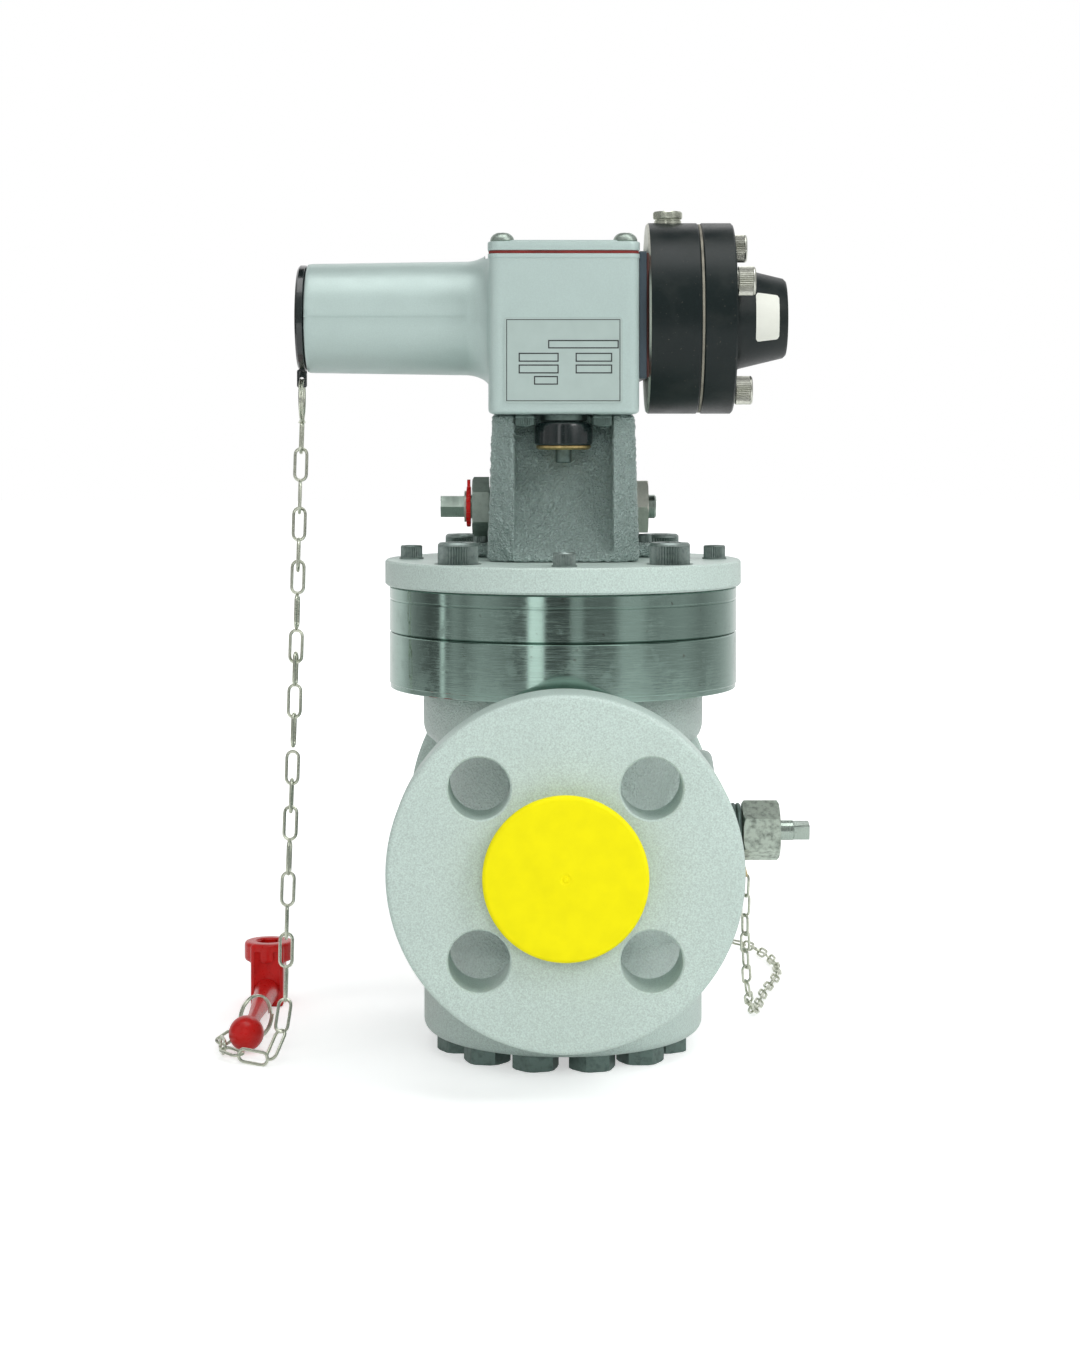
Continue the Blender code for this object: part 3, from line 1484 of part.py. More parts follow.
def make_head(looks, root):
    place = (0, 0, SENSING_Z)
    stem_hole = SENSING_STEM_D / 2 + BORE_GAP
    inset = HEAD_GASKET_INSET
    hole = drill(stem_hole, BOX_HALF_W, HEAD_INNER_X, "X", TINY_STEPS)
    hole_cutter = helper("head_stem_hole", hole, root, place)
    gasket = piece(
        "head_gasket",
        block(
            (
                HEAD_GASKET_X,
                -HEAD_MOUNT_HALF_W + inset,
                -HEAD_MOUNT_HALF_H + inset,
            ),
            (
                HEAD_GASKET_X + HEAD_GASKET_T,
                HEAD_MOUNT_HALF_W - inset,
                BOX_TOP - SENSING_Z,
            ),
        ),
        looks["red"],
        root,
        place,
    )
    mount = piece(
        "head_mount_plate",
        block(
            (HEAD_MOUNT_X, -HEAD_MOUNT_HALF_W, -HEAD_MOUNT_HALF_H),
            (HEAD_MOUNT_X + HEAD_MOUNT_T, HEAD_MOUNT_HALF_W, HEAD_MOUNT_HALF_H),
            3 * MM,
            "X",
        ),
        looks["zinc"],
        root,
        place,
    )
    cut(gasket, hole_cutter)
    cut(mount, hole_cutter)

    rim = HEAD_D / 2
    chamber = HEAD_CHAMBER_D / 2
    edge = HEAD_EDGE
    inner_end = HEAD_INNER_X + HEAD_INNER_T
    inner = piece(
        "head_plate_inner",
        turned(
            [
                (stem_hole, HEAD_INNER_X),
                (rim - edge, HEAD_INNER_X),
                (rim, HEAD_INNER_X + edge),
                (rim, inner_end),
                (chamber, inner_end),
                (chamber, inner_end - INNER_CHAMBER_L),
                (stem_hole, inner_end - INNER_CHAMBER_L),
            ],
            "X",
            ROUND_STEPS,
            ring=True,
        ),
        looks["black"],
        root,
        place,
    )
    outer = piece(
        "head_plate_outer",
        turned(
            [
                (stem_hole, HEAD_OUTER_X + OUTER_CHAMBER_L),
                (chamber, HEAD_OUTER_X + OUTER_CHAMBER_L),
                (chamber, HEAD_OUTER_X),
                (rim, HEAD_OUTER_X),
                (rim, HEAD_OUTER_END - edge),
                (rim - edge, HEAD_OUTER_END),
                (stem_hole, HEAD_OUTER_END),
            ],
            "X",
            ROUND_STEPS,
            ring=True,
        ),
        looks["black"],
        root,
        place,
    )
    diaphragm = piece(
        "diaphragm",
        tube(
            rim - edge,
            DIAPHRAGM_BORE / 2,
            DIAPHRAGM_X,
            DIAPHRAGM_X + DIAPHRAGM_T,
            "X",
            ROUND_STEPS,
        ),
        looks["rubber"],
        root,
        place,
    )
    thread_end = inner_end - HEAD_SCREW_BITE
    holes = helper(
        "head_screw_holes",
        head_screw_holes(thread_end, HEAD_OUTER_END + 5 * MM),
        root,
        place,
    )
    port_hole = drill(
        PORT_SLEEVE_D / 2 + BORE_GAP, rim - PORT_SLEEVE_L - 10 * MM, rim + 5 * MM
    )
    cut(inner, holes, helper("port_hole_cutter", port_hole, root, (PORT_X, 0, SENSING_Z)))
    cut(outer, holes)
    cut(diaphragm, holes)
    for i, (y, z) in enumerate(head_screw_places(), start=1):
        cap_screw(
            f"head_screw_{i}",
            HEAD_SCREW_D,
            HEAD_SCREW_HEAD_D,
            HEAD_SCREW_HEAD_H,
            HEAD_OUTER_END + GAP - thread_end - 1 * MM,
            looks["dark_zinc"],
            root,
            (HEAD_OUTER_END + GAP, -y, SENSING_Z + z),
            "X",
        )

    cone_x = HEAD_OUTER_END + GAP
    cone_end = cone_x + CONE_L
    tip = CONE_END_D / 2
    piece(
        "head_cone",
        turned(
            [
                (0, cone_x),
                (CONE_ROOT_D / 2, cone_x),
                (tip + CONE_ROUND * 0.3, cone_end - CONE_ROUND),
                (tip - CONE_ROUND, cone_end),
                (0, cone_end),
            ],
            "X",
            MEDIUM_STEPS,
        ),
        looks["black"],
        root,
        place,
    )
    collar = rim + GAP
    piece(
        "pressure_port",
        turned(
            [
                (PORT_BORE / 2, rim - PORT_SLEEVE_L),
                (PORT_SLEEVE_D / 2, rim - PORT_SLEEVE_L),
                (PORT_SLEEVE_D / 2, collar),
                (PORT_D / 2, collar),
                (PORT_D / 2, collar + PORT_H - 0.5 * MM),
                (PORT_D / 2 - 0.5 * MM, collar + PORT_H),
                (PORT_BORE / 2, collar + PORT_H),
            ],
            "Z",
            SMALL_STEPS,
            ring=True,
        ),
        looks["nickel"],
        root,
        (PORT_X, 0, SENSING_Z),
    )


def sensing_places():
    """Where the adjuster, the spring cup and the spring seat stand along the tube."""
    adjuster = TUBE_END + 4 * MM
    cup = adjuster + ADJUSTER_T + RUNNING_GAP
    seat = TUBE_FLOOR - GAP - SPRING_SEAT_T
    return adjuster, cup, seat


def make_sensing(looks, root, slide, adjuster_turn, cup_slide):
    """The sensing stem through tube, box and head, with its piston, spring and adjuster."""
    adjuster, cup, seat = sensing_places()
    stem_r = SENSING_STEM_D / 2
    collar_r = SENSING_COLLAR_D / 2
    lean = math.radians(LEVER_SWING_DEG)
    reach = SENSING_Z + collar_r - (BOX_FLOOR_Z + LEVER_PIVOT_ABOVE_FLOOR)
    arm_face = LEVER_PIVOT_X - LEVER_ARM_HALF / math.cos(lean) - reach * math.tan(lean)
    collar_end = arm_face - GAP
    piston_start = PISTON_X - PISTON_W / 2
    stem = piece(
        "sensing_stem",
        turned(
            [
                (stem_r, adjuster - 1 * MM),
                (stem_r, collar_end - SENSING_COLLAR_W),
                (collar_r, collar_end - SENSING_COLLAR_W),
                (collar_r, collar_end),
                (stem_r, collar_end),
                (stem_r, piston_start + PISTON_W / 2),
            ],
            "X",
            TINY_STEPS,
        ),
        looks["steel"],
        slide,
    )
    piston = rod(
        DIAPHRAGM_BORE / 2 - PISTON_GAP, piston_start, piston_start + PISTON_W, "X"
    )
    join(stem, helper("sensing_piston", piston, slide))
    bore = stem_r + RUNNING_GAP + 0.05 * MM
    wheel = piece(
        "adjuster",
        tube(ADJUSTER_D / 2, bore, adjuster, adjuster + ADJUSTER_T, "X"),
        looks["zinc"],
        adjuster_turn,
    )
    slots = merged(
        *[
            moved(
                rod(2 * MM, adjuster - 5 * MM, adjuster + ADJUSTER_T / 2, "X", TINY_STEPS),
                y=y,
            )
            for y in (-11 * MM, 11 * MM)
        ]
    )
    cut(wheel, helper("adjuster_spanner_holes", slots, adjuster_turn))
    piece(
        "spring_cup",
        tube(CUP_D / 2, bore, cup, cup + CUP_T, "X"),
        looks["zinc"],
        cup_slide,
    )
    piece(
        "spring_seat",
        tube(SPRING_SEAT_D / 2, stem_r + BORE_GAP, seat, seat + SPRING_SEAT_T, "X"),
        looks["zinc"],
        root,
        (0, 0, SENSING_Z),
    )
    coil(
        "set_spring",
        SET_SPRING_R,
        SET_WIRE,
        cup + CUP_T + SET_WIRE / 2 + GAP,
        seat - SET_WIRE / 2 - GAP,
        SET_TURNS,
        "X",
        looks["spring"],
        root,
        (0, 0, SENSING_Z),
    )


def make_trip_lever(looks, swing):
    """The latch lever, clear of the stem's head at rest, with a tail over the trip pin."""
    front = -LEVER_FRONT
    back = front + LEVER_T
    lever = piece(
        "trip_lever",
        block(
            (-LEVER_ARM_HALF, front, -LEVER_TAIL_BELOW_PIVOT),
            (LEVER_ARM_HALF, back, LEVER_ARM_ABOVE_PIVOT),
        ),
        looks["steel"],
        swing,
    )
    pivot = rod(
        LEVER_PIVOT_D / 2,
        front - RUNNING_GAP - LUG_T,
        back + RUNNING_GAP + LUG_T,
        "Y",
        TINY_STEPS,
    )
    tip_x = LEVER_TIP_X - LEVER_PIVOT_X
    tip = block(
        (tip_x, front + 0.2 * MM, LEVER_TIP_ABOVE_PIVOT),
        (0, LATCH_NECK_D / 2, LEVER_TIP_ABOVE_PIVOT + LEVER_TIP_H),
    )
    tail_z = -LEVER_TAIL_BELOW_PIVOT
    tail_back = front - RUNNING_GAP - LUG_T - 2 * MM
    tail_front = -BUTTON_BEFORE_CENTRE - TRIP_PIN_D / 2
    pin_x = -LEVER_PIVOT_X - TRIP_PIN_D / 2
    bridge_x = -LUG_HALF_W - 2 * MM
    bridge = block(
        (bridge_x - 5 * MM, front + 0.2 * MM, tail_z),
        (0, back - 0.2 * MM, tail_z + LEVER_TAIL_H),
    )
    rail = block(
        (bridge_x - 5 * MM, tail_front, tail_z + 0.1 * MM),
        (bridge_x, back - 0.4 * MM, tail_z + LEVER_TAIL_H - 0.1 * MM),
    )
    pad = block(
        (pin_x, tail_front - 0.1 * MM, tail_z),
        (bridge_x - 1 * MM, tail_back, tail_z + LEVER_TAIL_H),
    )
    join(
        lever,
        helper("lever_pivot_pin", pivot, swing),
        helper("lever_tip", tip, swing),
        helper("lever_bridge", bridge, swing),
        helper("lever_rail", rail, swing),
        helper("lever_pad", pad, swing),
    )


def make_button(looks, root, push):
    """The manual trip button that hangs from the box floor in the tower's recess."""
    place = (0, -BUTTON_BEFORE_CENTRE, 0)
    bore = TRIP_PIN_D / 2 + BORE_GAP
    neck_top = BOX_Z - GAP
    neck_bottom = neck_top - BUTTON_NECK_H
    guard_top = neck_bottom - GAP
    guard_bottom = guard_top - BUTTON_GUARD_H
    ring_top = guard_bottom - GAP
    ring_bottom = ring_top - BUTTON_RING_H
    piece(
        "button_neck",
        tube(BUTTON_NECK_D / 2, bore, neck_bottom, neck_top),
        looks["paint"],
        root,
        place,
    )
    guard = BUTTON_GUARD_D / 2
    piece(
        "button_guard",
        turned(
            [
                (bore, guard_bottom),
                (guard - 0.8 * MM, guard_bottom),
                (guard, guard_bottom + 0.8 * MM),
                (guard, guard_top - 0.8 * MM),
                (guard - 0.8 * MM, guard_top),
                (bore, guard_top),
            ],
            "Z",
            MEDIUM_STEPS,
            ring=True,
        ),
        looks["black"],
        root,
        place,
    )
    ring = BUTTON_RING_D / 2
    piece(
        "button_ring",
        turned(
            [
                (bore, ring_bottom),
                (ring - BUTTON_RING_H, ring_bottom),
                (ring, ring_top),
                (bore, ring_top),
            ],
            "Z",
            SMALL_STEPS,
            ring=True,
        ),
        looks["brass"],
        root,
        place,
    )
    pin = TRIP_PIN_D / 2
    collar = TRIP_PIN_COLLAR_D / 2
    collar_z = BOX_FLOOR_Z + GAP
    piece(
        "trip_pin",
        turned(
            [
                (pin, ring_bottom - TRIP_PIN_SHOWS),
                (pin, collar_z),
                (collar, collar_z),
                (collar, collar_z + TRIP_PIN_COLLAR_H),
                (pin, collar_z + TRIP_PIN_COLLAR_H),
                (pin, BOX_FLOOR_Z + TRIP_PIN_ABOVE_FLOOR),
            ],
            "Z",
            TINY_STEPS,
        ),
        looks["dark_zinc"],
        push,
    )


def make_bypass(looks, root, stem_turn, needle_slide):
    place = (0, 0, PIPE_Z)
    bore = BYPASS_STEM_D / 2 + RUNNING_GAP
    sleeve_start = BONNET_X - BONNET_SLEEVE_L
    piece(
        "bypass_bonnet",
        turned(
            [
                (bore, sleeve_start),
                (BONNET_SLEEVE_D / 2, sleeve_start),
                (BONNET_SLEEVE_D / 2, BONNET_X),
                (BONNET_D / 2, BONNET_X),
                (BONNET_D / 2, BONNET_X + BONNET_L),
                (bore, BONNET_X + BONNET_L),
            ],
            "X",
            SMALL_STEPS,
            ring=True,
        ),
        looks["zinc"],
        root,
        place,
    )
    nut = piece(
        "bypass_nut",
        hexagon(NUT_AF, BYPASS_NUT_X, BYPASS_NUT_END, "X", 1.5 * MM),
        looks["zinc"],
        root,
        place,
    )
    hole = drill(bore, BYPASS_NUT_X - 5 * MM, BYPASS_NUT_END + 5 * MM, "X", SMALL_STEPS)
    cut(nut, helper("bypass_nut_bore", hole, root, place))
    stem = piece(
        "bypass_stem",
        rod(
            BYPASS_STEM_D / 2,
            BYPASS_STEM_START,
            BYPASS_NUT_END + BYPASS_STEM_SHOWS,
            "X",
            SMALL_STEPS,
        ),
        looks["steel"],
        stem_turn,
    )
    square = rod(
        BYPASS_SQUARE_AF / math.sqrt(2),
        BYPASS_NUT_END + BYPASS_STEM_SHOWS - 1 * MM,
        BYPASS_END,
        "X",
        4,
        phase=math.radians(45 + BYPASS_SQUARE_TURN_DEG),
    )
    join(stem, helper("bypass_square", square, stem_turn))
    needle = NEEDLE_D / 2
    piece(
        "bypass_needle",
        turned(
            [
                (NEEDLE_TIP_D / 2, NEEDLE_START),
                (needle, NEEDLE_START + NEEDLE_TIP_L),
                (needle, NEEDLE_START + NEEDLE_L),
            ],
            "X",
            TINY_STEPS,
        ),
        looks["steel"],
        needle_slide,
    )


def make_pipe_cap(name, side, looks, pull):
    """A plastic transport cap pushed into the pipe bore, its disc over the raised face."""
    face = FACE_TO_FACE / 2 + GAP
    rim = CAP_D / 2
    plug = PIPE_BORE / 2 - BORE_GAP
    bore = plug - CAP_PLUG_WALL
    profile = [
        (bore, face - CAP_PLUG_L),
        (plug, face - CAP_PLUG_L),
        (plug, face),
        (rim - 1 * MM, face),
        (rim, face + 1 * MM),
        (rim - 0.5 * MM, face + CAP_RIM_T),
        (rim * 0.6, face + CAP_RIM_T + CAP_DOME * 0.7),
        (0, face + CAP_RIM_T + CAP_DOME),
    ]
    inside = [(0, face + CAP_RIM_T - 1 * MM), (bore, face + CAP_RIM_T - 1 * MM)]
    shape = turned(
        [(r, side * y) for r, y in inside + profile], "Y", MEDIUM_STEPS
    )
    piece(name, shape, looks["yellow"], pull)


def make_lever_and_ball(looks, root):
    """The tethered reset lever, lying on the floor with its socket upward."""
    half = LEVER_HEAD_W / 2
    y = LEVER_KNEE_Y
    lever = piece(
        "reset_lever",
        block(
            (-half, y - half, 0.2 * MM),
            (half, y + half, LEVER_HEAD_H - LEVER_COLLAR_H / 2),
            2 * MM,
            "Z",
        ),
        looks["red"],
        root,
        (LEVER_X, 0, 0),
    )
    collar = moved(
        rod(
            LEVER_COLLAR_W / 2,
            LEVER_HEAD_H - LEVER_COLLAR_H,
            LEVER_HEAD_H,
            "Z",
            SMALL_STEPS,
            1 * MM,
        ),
        y=y,
    )
    ball_z = LEVER_BALL_D / 2
    grip = LEVER_HANDLE_D / 2
    start = LEVER_BALL_Y + LEVER_BALL_D / 2 - 4 * MM
    handle = turned(
        [
            (grip * 0.7, start),
            (grip * 0.7, start + 4 * MM),
            (grip, start + 4 * MM),
            (grip * 1.9, y - half + 2 * MM),
        ],
        "Y",
        TINY_STEPS,
    )
    moved(handle, z=ball_z)
    socket = moved(
        hexagon(
            SHAFT_HEX_AF + 2 * LEVER_SOCKET_GAP,
            LEVER_HEAD_H - LEVER_SOCKET_DEPTH,
            LEVER_HEAD_H + 5 * MM,
        ),
        y=y,
    )
    place = (LEVER_X, 0, 0)
    join(
        lever,
        helper("lever_collar", collar, root, place),
        helper("lever_handle", handle, root, place),
    )
    cut(lever, helper("lever_socket", socket, root, place))
    ball = piece(
        "lever_ball",
        turned(
            [
                (
                    ball_z * math.sin(math.pi * i / 8),
                    -ball_z * math.cos(math.pi * i / 8),
                )
                for i in range(9)
            ],
            "Y",
            SMALL_STEPS,
        ),
        looks["red"],
        root,
        (LEVER_X, LEVER_BALL_Y, ball_z),
    )
    hole = drill(grip * 0.7 + GAP, 3.5 * MM, LEVER_BALL_D, "Y", TINY_STEPS)
    cut(ball, helper("ball_hole", hole, root, (LEVER_X, LEVER_BALL_Y, ball_z)))


def cap_eye_place():
    return Vector(
        (
            CAP_END - CAP_EYE_PROUD + CAP_EYE_W / 2,
            0,
            SENSING_Z - CAP_EYE_BELOW_AXIS,
        )
    )


def make_cap_chain(looks, root):
    """The chain from the tube cap's eye down to the lever on the floor, with its rings."""
    wire = RING_WIRE / 2
    ring_r = SPLIT_RING_D / 2 - wire
    top = cap_eye_place() + Vector((0, 0, -ring_r))
    top_ring = torus(ring_r, wire, "X")
    piece("chain_ring_top", top_ring, looks["nickel"], root, top)
    floor_ring = torus(ring_r, wire, "Y")
    floor_place = Vector((FLOOR_RING_X, FLOOR_RING_Y, SPLIT_RING_D / 2))
    piece("chain_ring_floor", floor_ring, looks["nickel"], root, floor_place)
    start = top + Vector((0, 0, -SPLIT_RING_D / 2 - GAP))
    lie = CHAIN_W / 2 + 0.4 * MM
    route = [
        start,
        Vector((-121.2 * MM, -1.5 * MM, 262 * MM)),
        Vector((-123.2 * MM, -12 * MM, 150 * MM)),
        Vector((-125.4 * MM, -23 * MM, 60 * MM)),
        Vector((-125.4 * MM, -29 * MM, 28 * MM)),
        Vector((-128 * MM, -38 * MM, 10 * MM)),
        Vector((-133 * MM, -44 * MM, lie)),
        Vector((-142 * MM, -40 * MM, lie)),
        Vector((-152.5 * MM, -30 * MM, lie)),
        Vector((-157.5 * MM, -17 * MM, lie)),
        Vector((-155 * MM, -6 * MM, lie)),
        Vector((-151.3 * MM, FLOOR_RING_Y - wire - 1.5 * GAP, 5 * MM)),
    ]
    points = smooth_route(route, 2.4 * CHAIN_W)
    wire_piece("cap_chain", points, CHAIN_W / 2, 2, looks["nickel"], root)


def make_bypass_chain(looks, root):
    """The loose wire ring on the bypass neck and the small chain that lies back from it."""
    wire = RING_WIRE / 2
    ring_r = BYPASS_RING_D / 2 - wire
    lean = math.radians(BYPASS_RING_TILT_DEG)
    neck_top = PIPE_Z + BONNET_D / 2
    hang_x = BONNET_X + 4.6 * MM
    middle = Vector(
        (
            hang_x + ring_r * math.sin(lean),
            0,
            neck_top + wire + 2 * GAP - ring_r * math.cos(lean),
        )
    )
    ring = tilted(torus(ring_r, wire, "X"), -BYPASS_RING_TILT_DEG, "Y")
    piece("bypass_ring", ring, looks["brass"], root, middle)
    low = middle + Vector((math.sin(lean), 0, -math.cos(lean))) * (ring_r + wire + GAP)
    lie = BYPASS_CHAIN_W / 2 + 0.5 * MM
    route = [
        low,
        Vector((84.4 * MM, 2 * MM, 60 * MM)),
        Vector((85 * MM, 8 * MM, 40 * MM)),
        Vector((87 * MM, 20 * MM, 20 * MM)),
        Vector((90 * MM, 38 * MM, 8 * MM)),
        Vector((94 * MM, 56 * MM, lie)),
        Vector((101 * MM, 92 * MM, lie)),
        Vector((111 * MM, 132 * MM, lie)),
        Vector((112 * MM, 165 * MM, lie)),
        Vector((107 * MM, 193 * MM, lie)),
        Vector((99 * MM, 212 * MM, lie)),
        Vector((88 * MM, 220 * MM, lie)),
        Vector((76 * MM, 221 * MM, lie)),
    ]
    points = smooth_route(route, 2.4 * BYPASS_CHAIN_W)
    wire_piece("bypass_chain", points, BYPASS_CHAIN_W / 2, 2, looks["nickel"], root)


def make_looks():
    return {
        "paint": material("light grey-green paint", (0.42, 0.47, 0.45), 0.45, 0.0),
        "casting": material("rough grey paint", (0.27, 0.31, 0.31), 0.7, 0.0),
        "steel": material("machined steel", (0.5, 0.51, 0.5), 0.3, 1.0),
        "zinc": material("zinc plate", (0.6, 0.58, 0.5), 0.35, 1.0),
        "dark_zinc": material("dark zinc screws", (0.2, 0.22, 0.23), 0.35, 1.0),
        "nickel": material("nickel plate", (0.7, 0.68, 0.62), 0.25, 1.0),
        "brass": material("brass", (0.72, 0.55, 0.25), 0.35, 1.0),
        "alloy": material("aluminium alloy", (0.7, 0.7, 0.7), 0.4, 1.0),
        "spring": material("spring steel", (0.35, 0.35, 0.36), 0.4, 1.0),
        "black": material("black anodised", (0.02, 0.02, 0.022), 0.4, 0.3),
        "red": material("red", (0.6, 0.05, 0.04), 0.5, 0.0),
        "rubber": material("black rubber", (0.02, 0.02, 0.02), 0.8, 0.0),
        "yellow": material("yellow plastic", (0.9, 0.75, 0.02), 0.45, 0.0),
    }


def main():
    for old in list(bpy.data.objects):
        bpy.data.objects.remove(old, do_unlink=True)
    looks = make_looks()
    root = empty("gas_valve", (VALVE_X, 0, 0))
    make_body(looks, root)
    make_flange("inlet_flange", -1, looks, root)
    make_flange("outlet_flange", 1, looks, root)
    make_bottom_cover(looks, root)
    make_upper_ring(looks, root)
    make_top_cover(looks, root)
    make_seat(looks, root)
    make_guide_and_spring(looks, root)
    make_plug(looks, empty("plug_lift", (0, 0, 0), root))
    make_tower(looks, root)
    make_shaft_nut("shaft_nut_left", LEFT_NUT_T, -1, math.radians(30), looks, root)
    make_shaft_nut("shaft_nut_right", RIGHT_NUT_T, 1, 0, looks, root)
    make_shaft(looks, empty("shaft_turn", (0, SHAFT_BEHIND_STEM, SHAFT_Z), root))
    make_box(looks, root)
    make_box_lid(looks, root)
    make_tube_cap(looks, root)
    make_head(looks, root)
    sensing_axis = (0, 0, SENSING_Z)
    make_sensing(
        looks,
        root,
        empty("sensing_slide", sensing_axis, root),
        empty("adjuster_turn", sensing_axis, root),
        empty("cup_slide", sensing_axis, root),
    )
    pivot_z = BOX_FLOOR_Z + LEVER_PIVOT_ABOVE_FLOOR
    make_trip_lever(looks, empty("latch_swing", (LEVER_PIVOT_X, 0, pivot_z), root))
    make_button(looks, root, empty("trip_push", (0, -BUTTON_BEFORE_CENTRE, 0), root))
    make_bypass(
        looks,
        root,
        empty("bypass_turn", (0, 0, PIPE_Z), root),
        empty("needle_slide", (0, 0, PIPE_Z), root),
    )
    make_pipe_cap("inlet_cap", -1, looks, empty("inlet_cap_pull", (0, 0, PIPE_Z), root))
    make_pipe_cap("outlet_cap", 1, looks, empty("outlet_cap_pull", (0, 0, PIPE_Z), root))
    make_lever_and_ball(looks, root)
    make_cap_chain(looks, root)
    make_bypass_chain(looks, root)


main()
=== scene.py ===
"""Looks of a slam-shut gas valve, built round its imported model.

Shapes are modelled in millimetres round the valve's own axis, with the pipe along Y, and
each piece is brought to metres and to its place when it is finished.
"""

import math
import random

import bmesh
import bpy
from bpy.props import FloatProperty, FloatVectorProperty, IntProperty, PointerProperty
from mathutils import Matrix, Vector, noise


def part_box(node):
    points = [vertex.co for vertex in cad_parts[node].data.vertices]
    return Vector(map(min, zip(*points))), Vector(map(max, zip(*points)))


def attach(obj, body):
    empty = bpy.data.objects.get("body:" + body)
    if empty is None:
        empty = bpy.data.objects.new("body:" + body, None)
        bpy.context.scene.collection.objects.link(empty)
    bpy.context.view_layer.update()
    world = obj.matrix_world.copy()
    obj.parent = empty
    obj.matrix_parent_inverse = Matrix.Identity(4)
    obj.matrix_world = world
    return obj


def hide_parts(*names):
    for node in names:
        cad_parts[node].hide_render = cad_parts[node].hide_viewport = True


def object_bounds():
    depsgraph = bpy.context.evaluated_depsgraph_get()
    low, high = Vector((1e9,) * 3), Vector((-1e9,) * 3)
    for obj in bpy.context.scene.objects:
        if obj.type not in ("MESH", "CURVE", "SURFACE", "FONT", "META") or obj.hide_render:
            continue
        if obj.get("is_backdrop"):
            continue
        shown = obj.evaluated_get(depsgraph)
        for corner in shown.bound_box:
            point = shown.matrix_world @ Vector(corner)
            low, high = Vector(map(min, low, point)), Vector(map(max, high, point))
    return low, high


bl_info = {
    "name": "Gas Valve Looks",
    "version": (1, 0, 0),
    "blender": (4, 5, 0),
    "location": "View3D > Sidebar > Gas valve",
    "description": "Dresses the packed model of a slam-shut gas valve",
    "category": "Add Mesh",
}

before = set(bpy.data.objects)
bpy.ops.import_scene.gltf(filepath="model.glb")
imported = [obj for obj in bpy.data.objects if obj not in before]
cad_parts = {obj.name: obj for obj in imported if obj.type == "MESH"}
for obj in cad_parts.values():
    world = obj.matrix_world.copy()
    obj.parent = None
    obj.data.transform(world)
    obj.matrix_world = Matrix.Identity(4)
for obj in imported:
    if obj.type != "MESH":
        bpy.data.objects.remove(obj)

MM = 0.001
MERGE = 0.0005  # millimetres within which two points are one
RING_LOW, RING_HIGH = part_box("upper_ring")
AXIS_X = (RING_LOW.x + RING_HIGH.x) / 2


# --- Sizes and colours that a user would change


def size(name, description, default):
    return FloatProperty(name=name, description=description, default=default, min=0)


def tint(name, description, default):
    return FloatVectorProperty(
        name=name, description=description, default=default, size=3, subtype="COLOR", min=0, max=1
    )


class ValveSizes(bpy.types.PropertyGroup):
    """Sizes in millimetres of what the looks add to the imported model."""

    round_steps: IntProperty(
        name="Round steps",
        description="Facets round the largest turned pieces",
        default=144,
        min=24,
    )
    casting_voxel: size("Casting voxel", "Voxel of the body's cast surface", 1.6)
    tower_voxel: size("Tower voxel", "Voxel of the tower's rough surface", 0.9)
    knurl_depth: size("Knurl depth", "Depth of the screws' knurl", 0.7)
    plate_thickness: size("Plate thickness", "Thickness of the box's plate", 0.35)
    link_wire: size("Link wire", "Wire of the cap chain's links", 1.5)
    link_length: size("Link length", "Outer length of a cap chain's link", 16.3)
    link_width: size("Link width", "Outer width of a cap chain's link", 7.0)
    small_link_wire: size("Small link wire", "Wire of the bypass chain's links", 1.2)
    small_link_length: size("Small link length", "Length of a bypass link", 11.5)
    small_link_width: size("Small link width", "Width of a bypass link", 5.2)


class ValveColours(bpy.types.PropertyGroup):
    """Colours of the valve's finishes."""

    body: tint("Body", "Paint of body and flanges", (0.55, 0.67, 0.62))
    box: tint("Box", "Paint of the trip box and cover plate", (0.48, 0.60, 0.57))
    # drawn darker than the flanges' paint: partly the rougher cast finish, partly painted shade
    # for the neck under the ring and the body seen behind the flanges
    cast_body: tint("Cast body", "Paint of the body's cast surface", (0.47, 0.57, 0.53))
    # drawn darker than the body's paint: partly the tower's own rough finish, partly painted shade
    # under the box
    casting: tint("Casting", "Paint of the rough tower", (0.41, 0.52, 0.49))
    steel: tint("Steel", "Turned steel", (0.30, 0.42, 0.37))
    zinc: tint("Zinc", "Zinc plate of nuts and bushes", (0.38, 0.45, 0.40))
    screw: tint("Screws", "Dark zinc of the screws", (0.30, 0.36, 0.34))
    nickel: tint("Nickel", "Nickel of chains, rings and port", (0.62, 0.65, 0.54))
    brass: tint("Brass", "Brass of the button's ring", (0.60, 0.46, 0.20))
    alloy: tint("Alloy", "Bare light alloy", (0.62, 0.63, 0.56))
    black: tint("Black", "Black anodised head", (0.004, 0.010, 0.010))
    red: tint("Red", "Red lever and indicator", (0.60, 0.010, 0.008))
    gasket: tint("Gasket", "Red gaskets", (0.20, 0.020, 0.014))
    yellow: tint("Yellow", "Transport caps", (0.96, 0.87, 0.003))
    paper: tint("Paper", "Bare sticker", (0.82, 0.84, 0.76))


# --- Shapes


AXIS_TURNS = {
    "Z": Matrix.Identity(4),
    "X": Matrix.Rotation(math.pi / 2, 4, "Y"),
    "Y": Matrix.Rotation(-math.pi / 2, 4, "X"),
}


def turn(bm, matrix):
    bmesh.ops.transform(bm, matrix=matrix, verts=bm.verts)
    return bm


def move(bm, x=0, y=0, z=0):
    bmesh.ops.translate(bm, vec=(x, y, z), verts=bm.verts)
    return bm


def rotated(bm, degrees, axis="Z"):
    return turn(bm, Matrix.Rotation(math.radians(degrees), 4, axis))


def tidy(bm):
    bmesh.ops.remove_doubles(bm, verts=bm.verts, dist=MERGE)
    bmesh.ops.recalc_face_normals(bm, faces=bm.faces)
    return bm


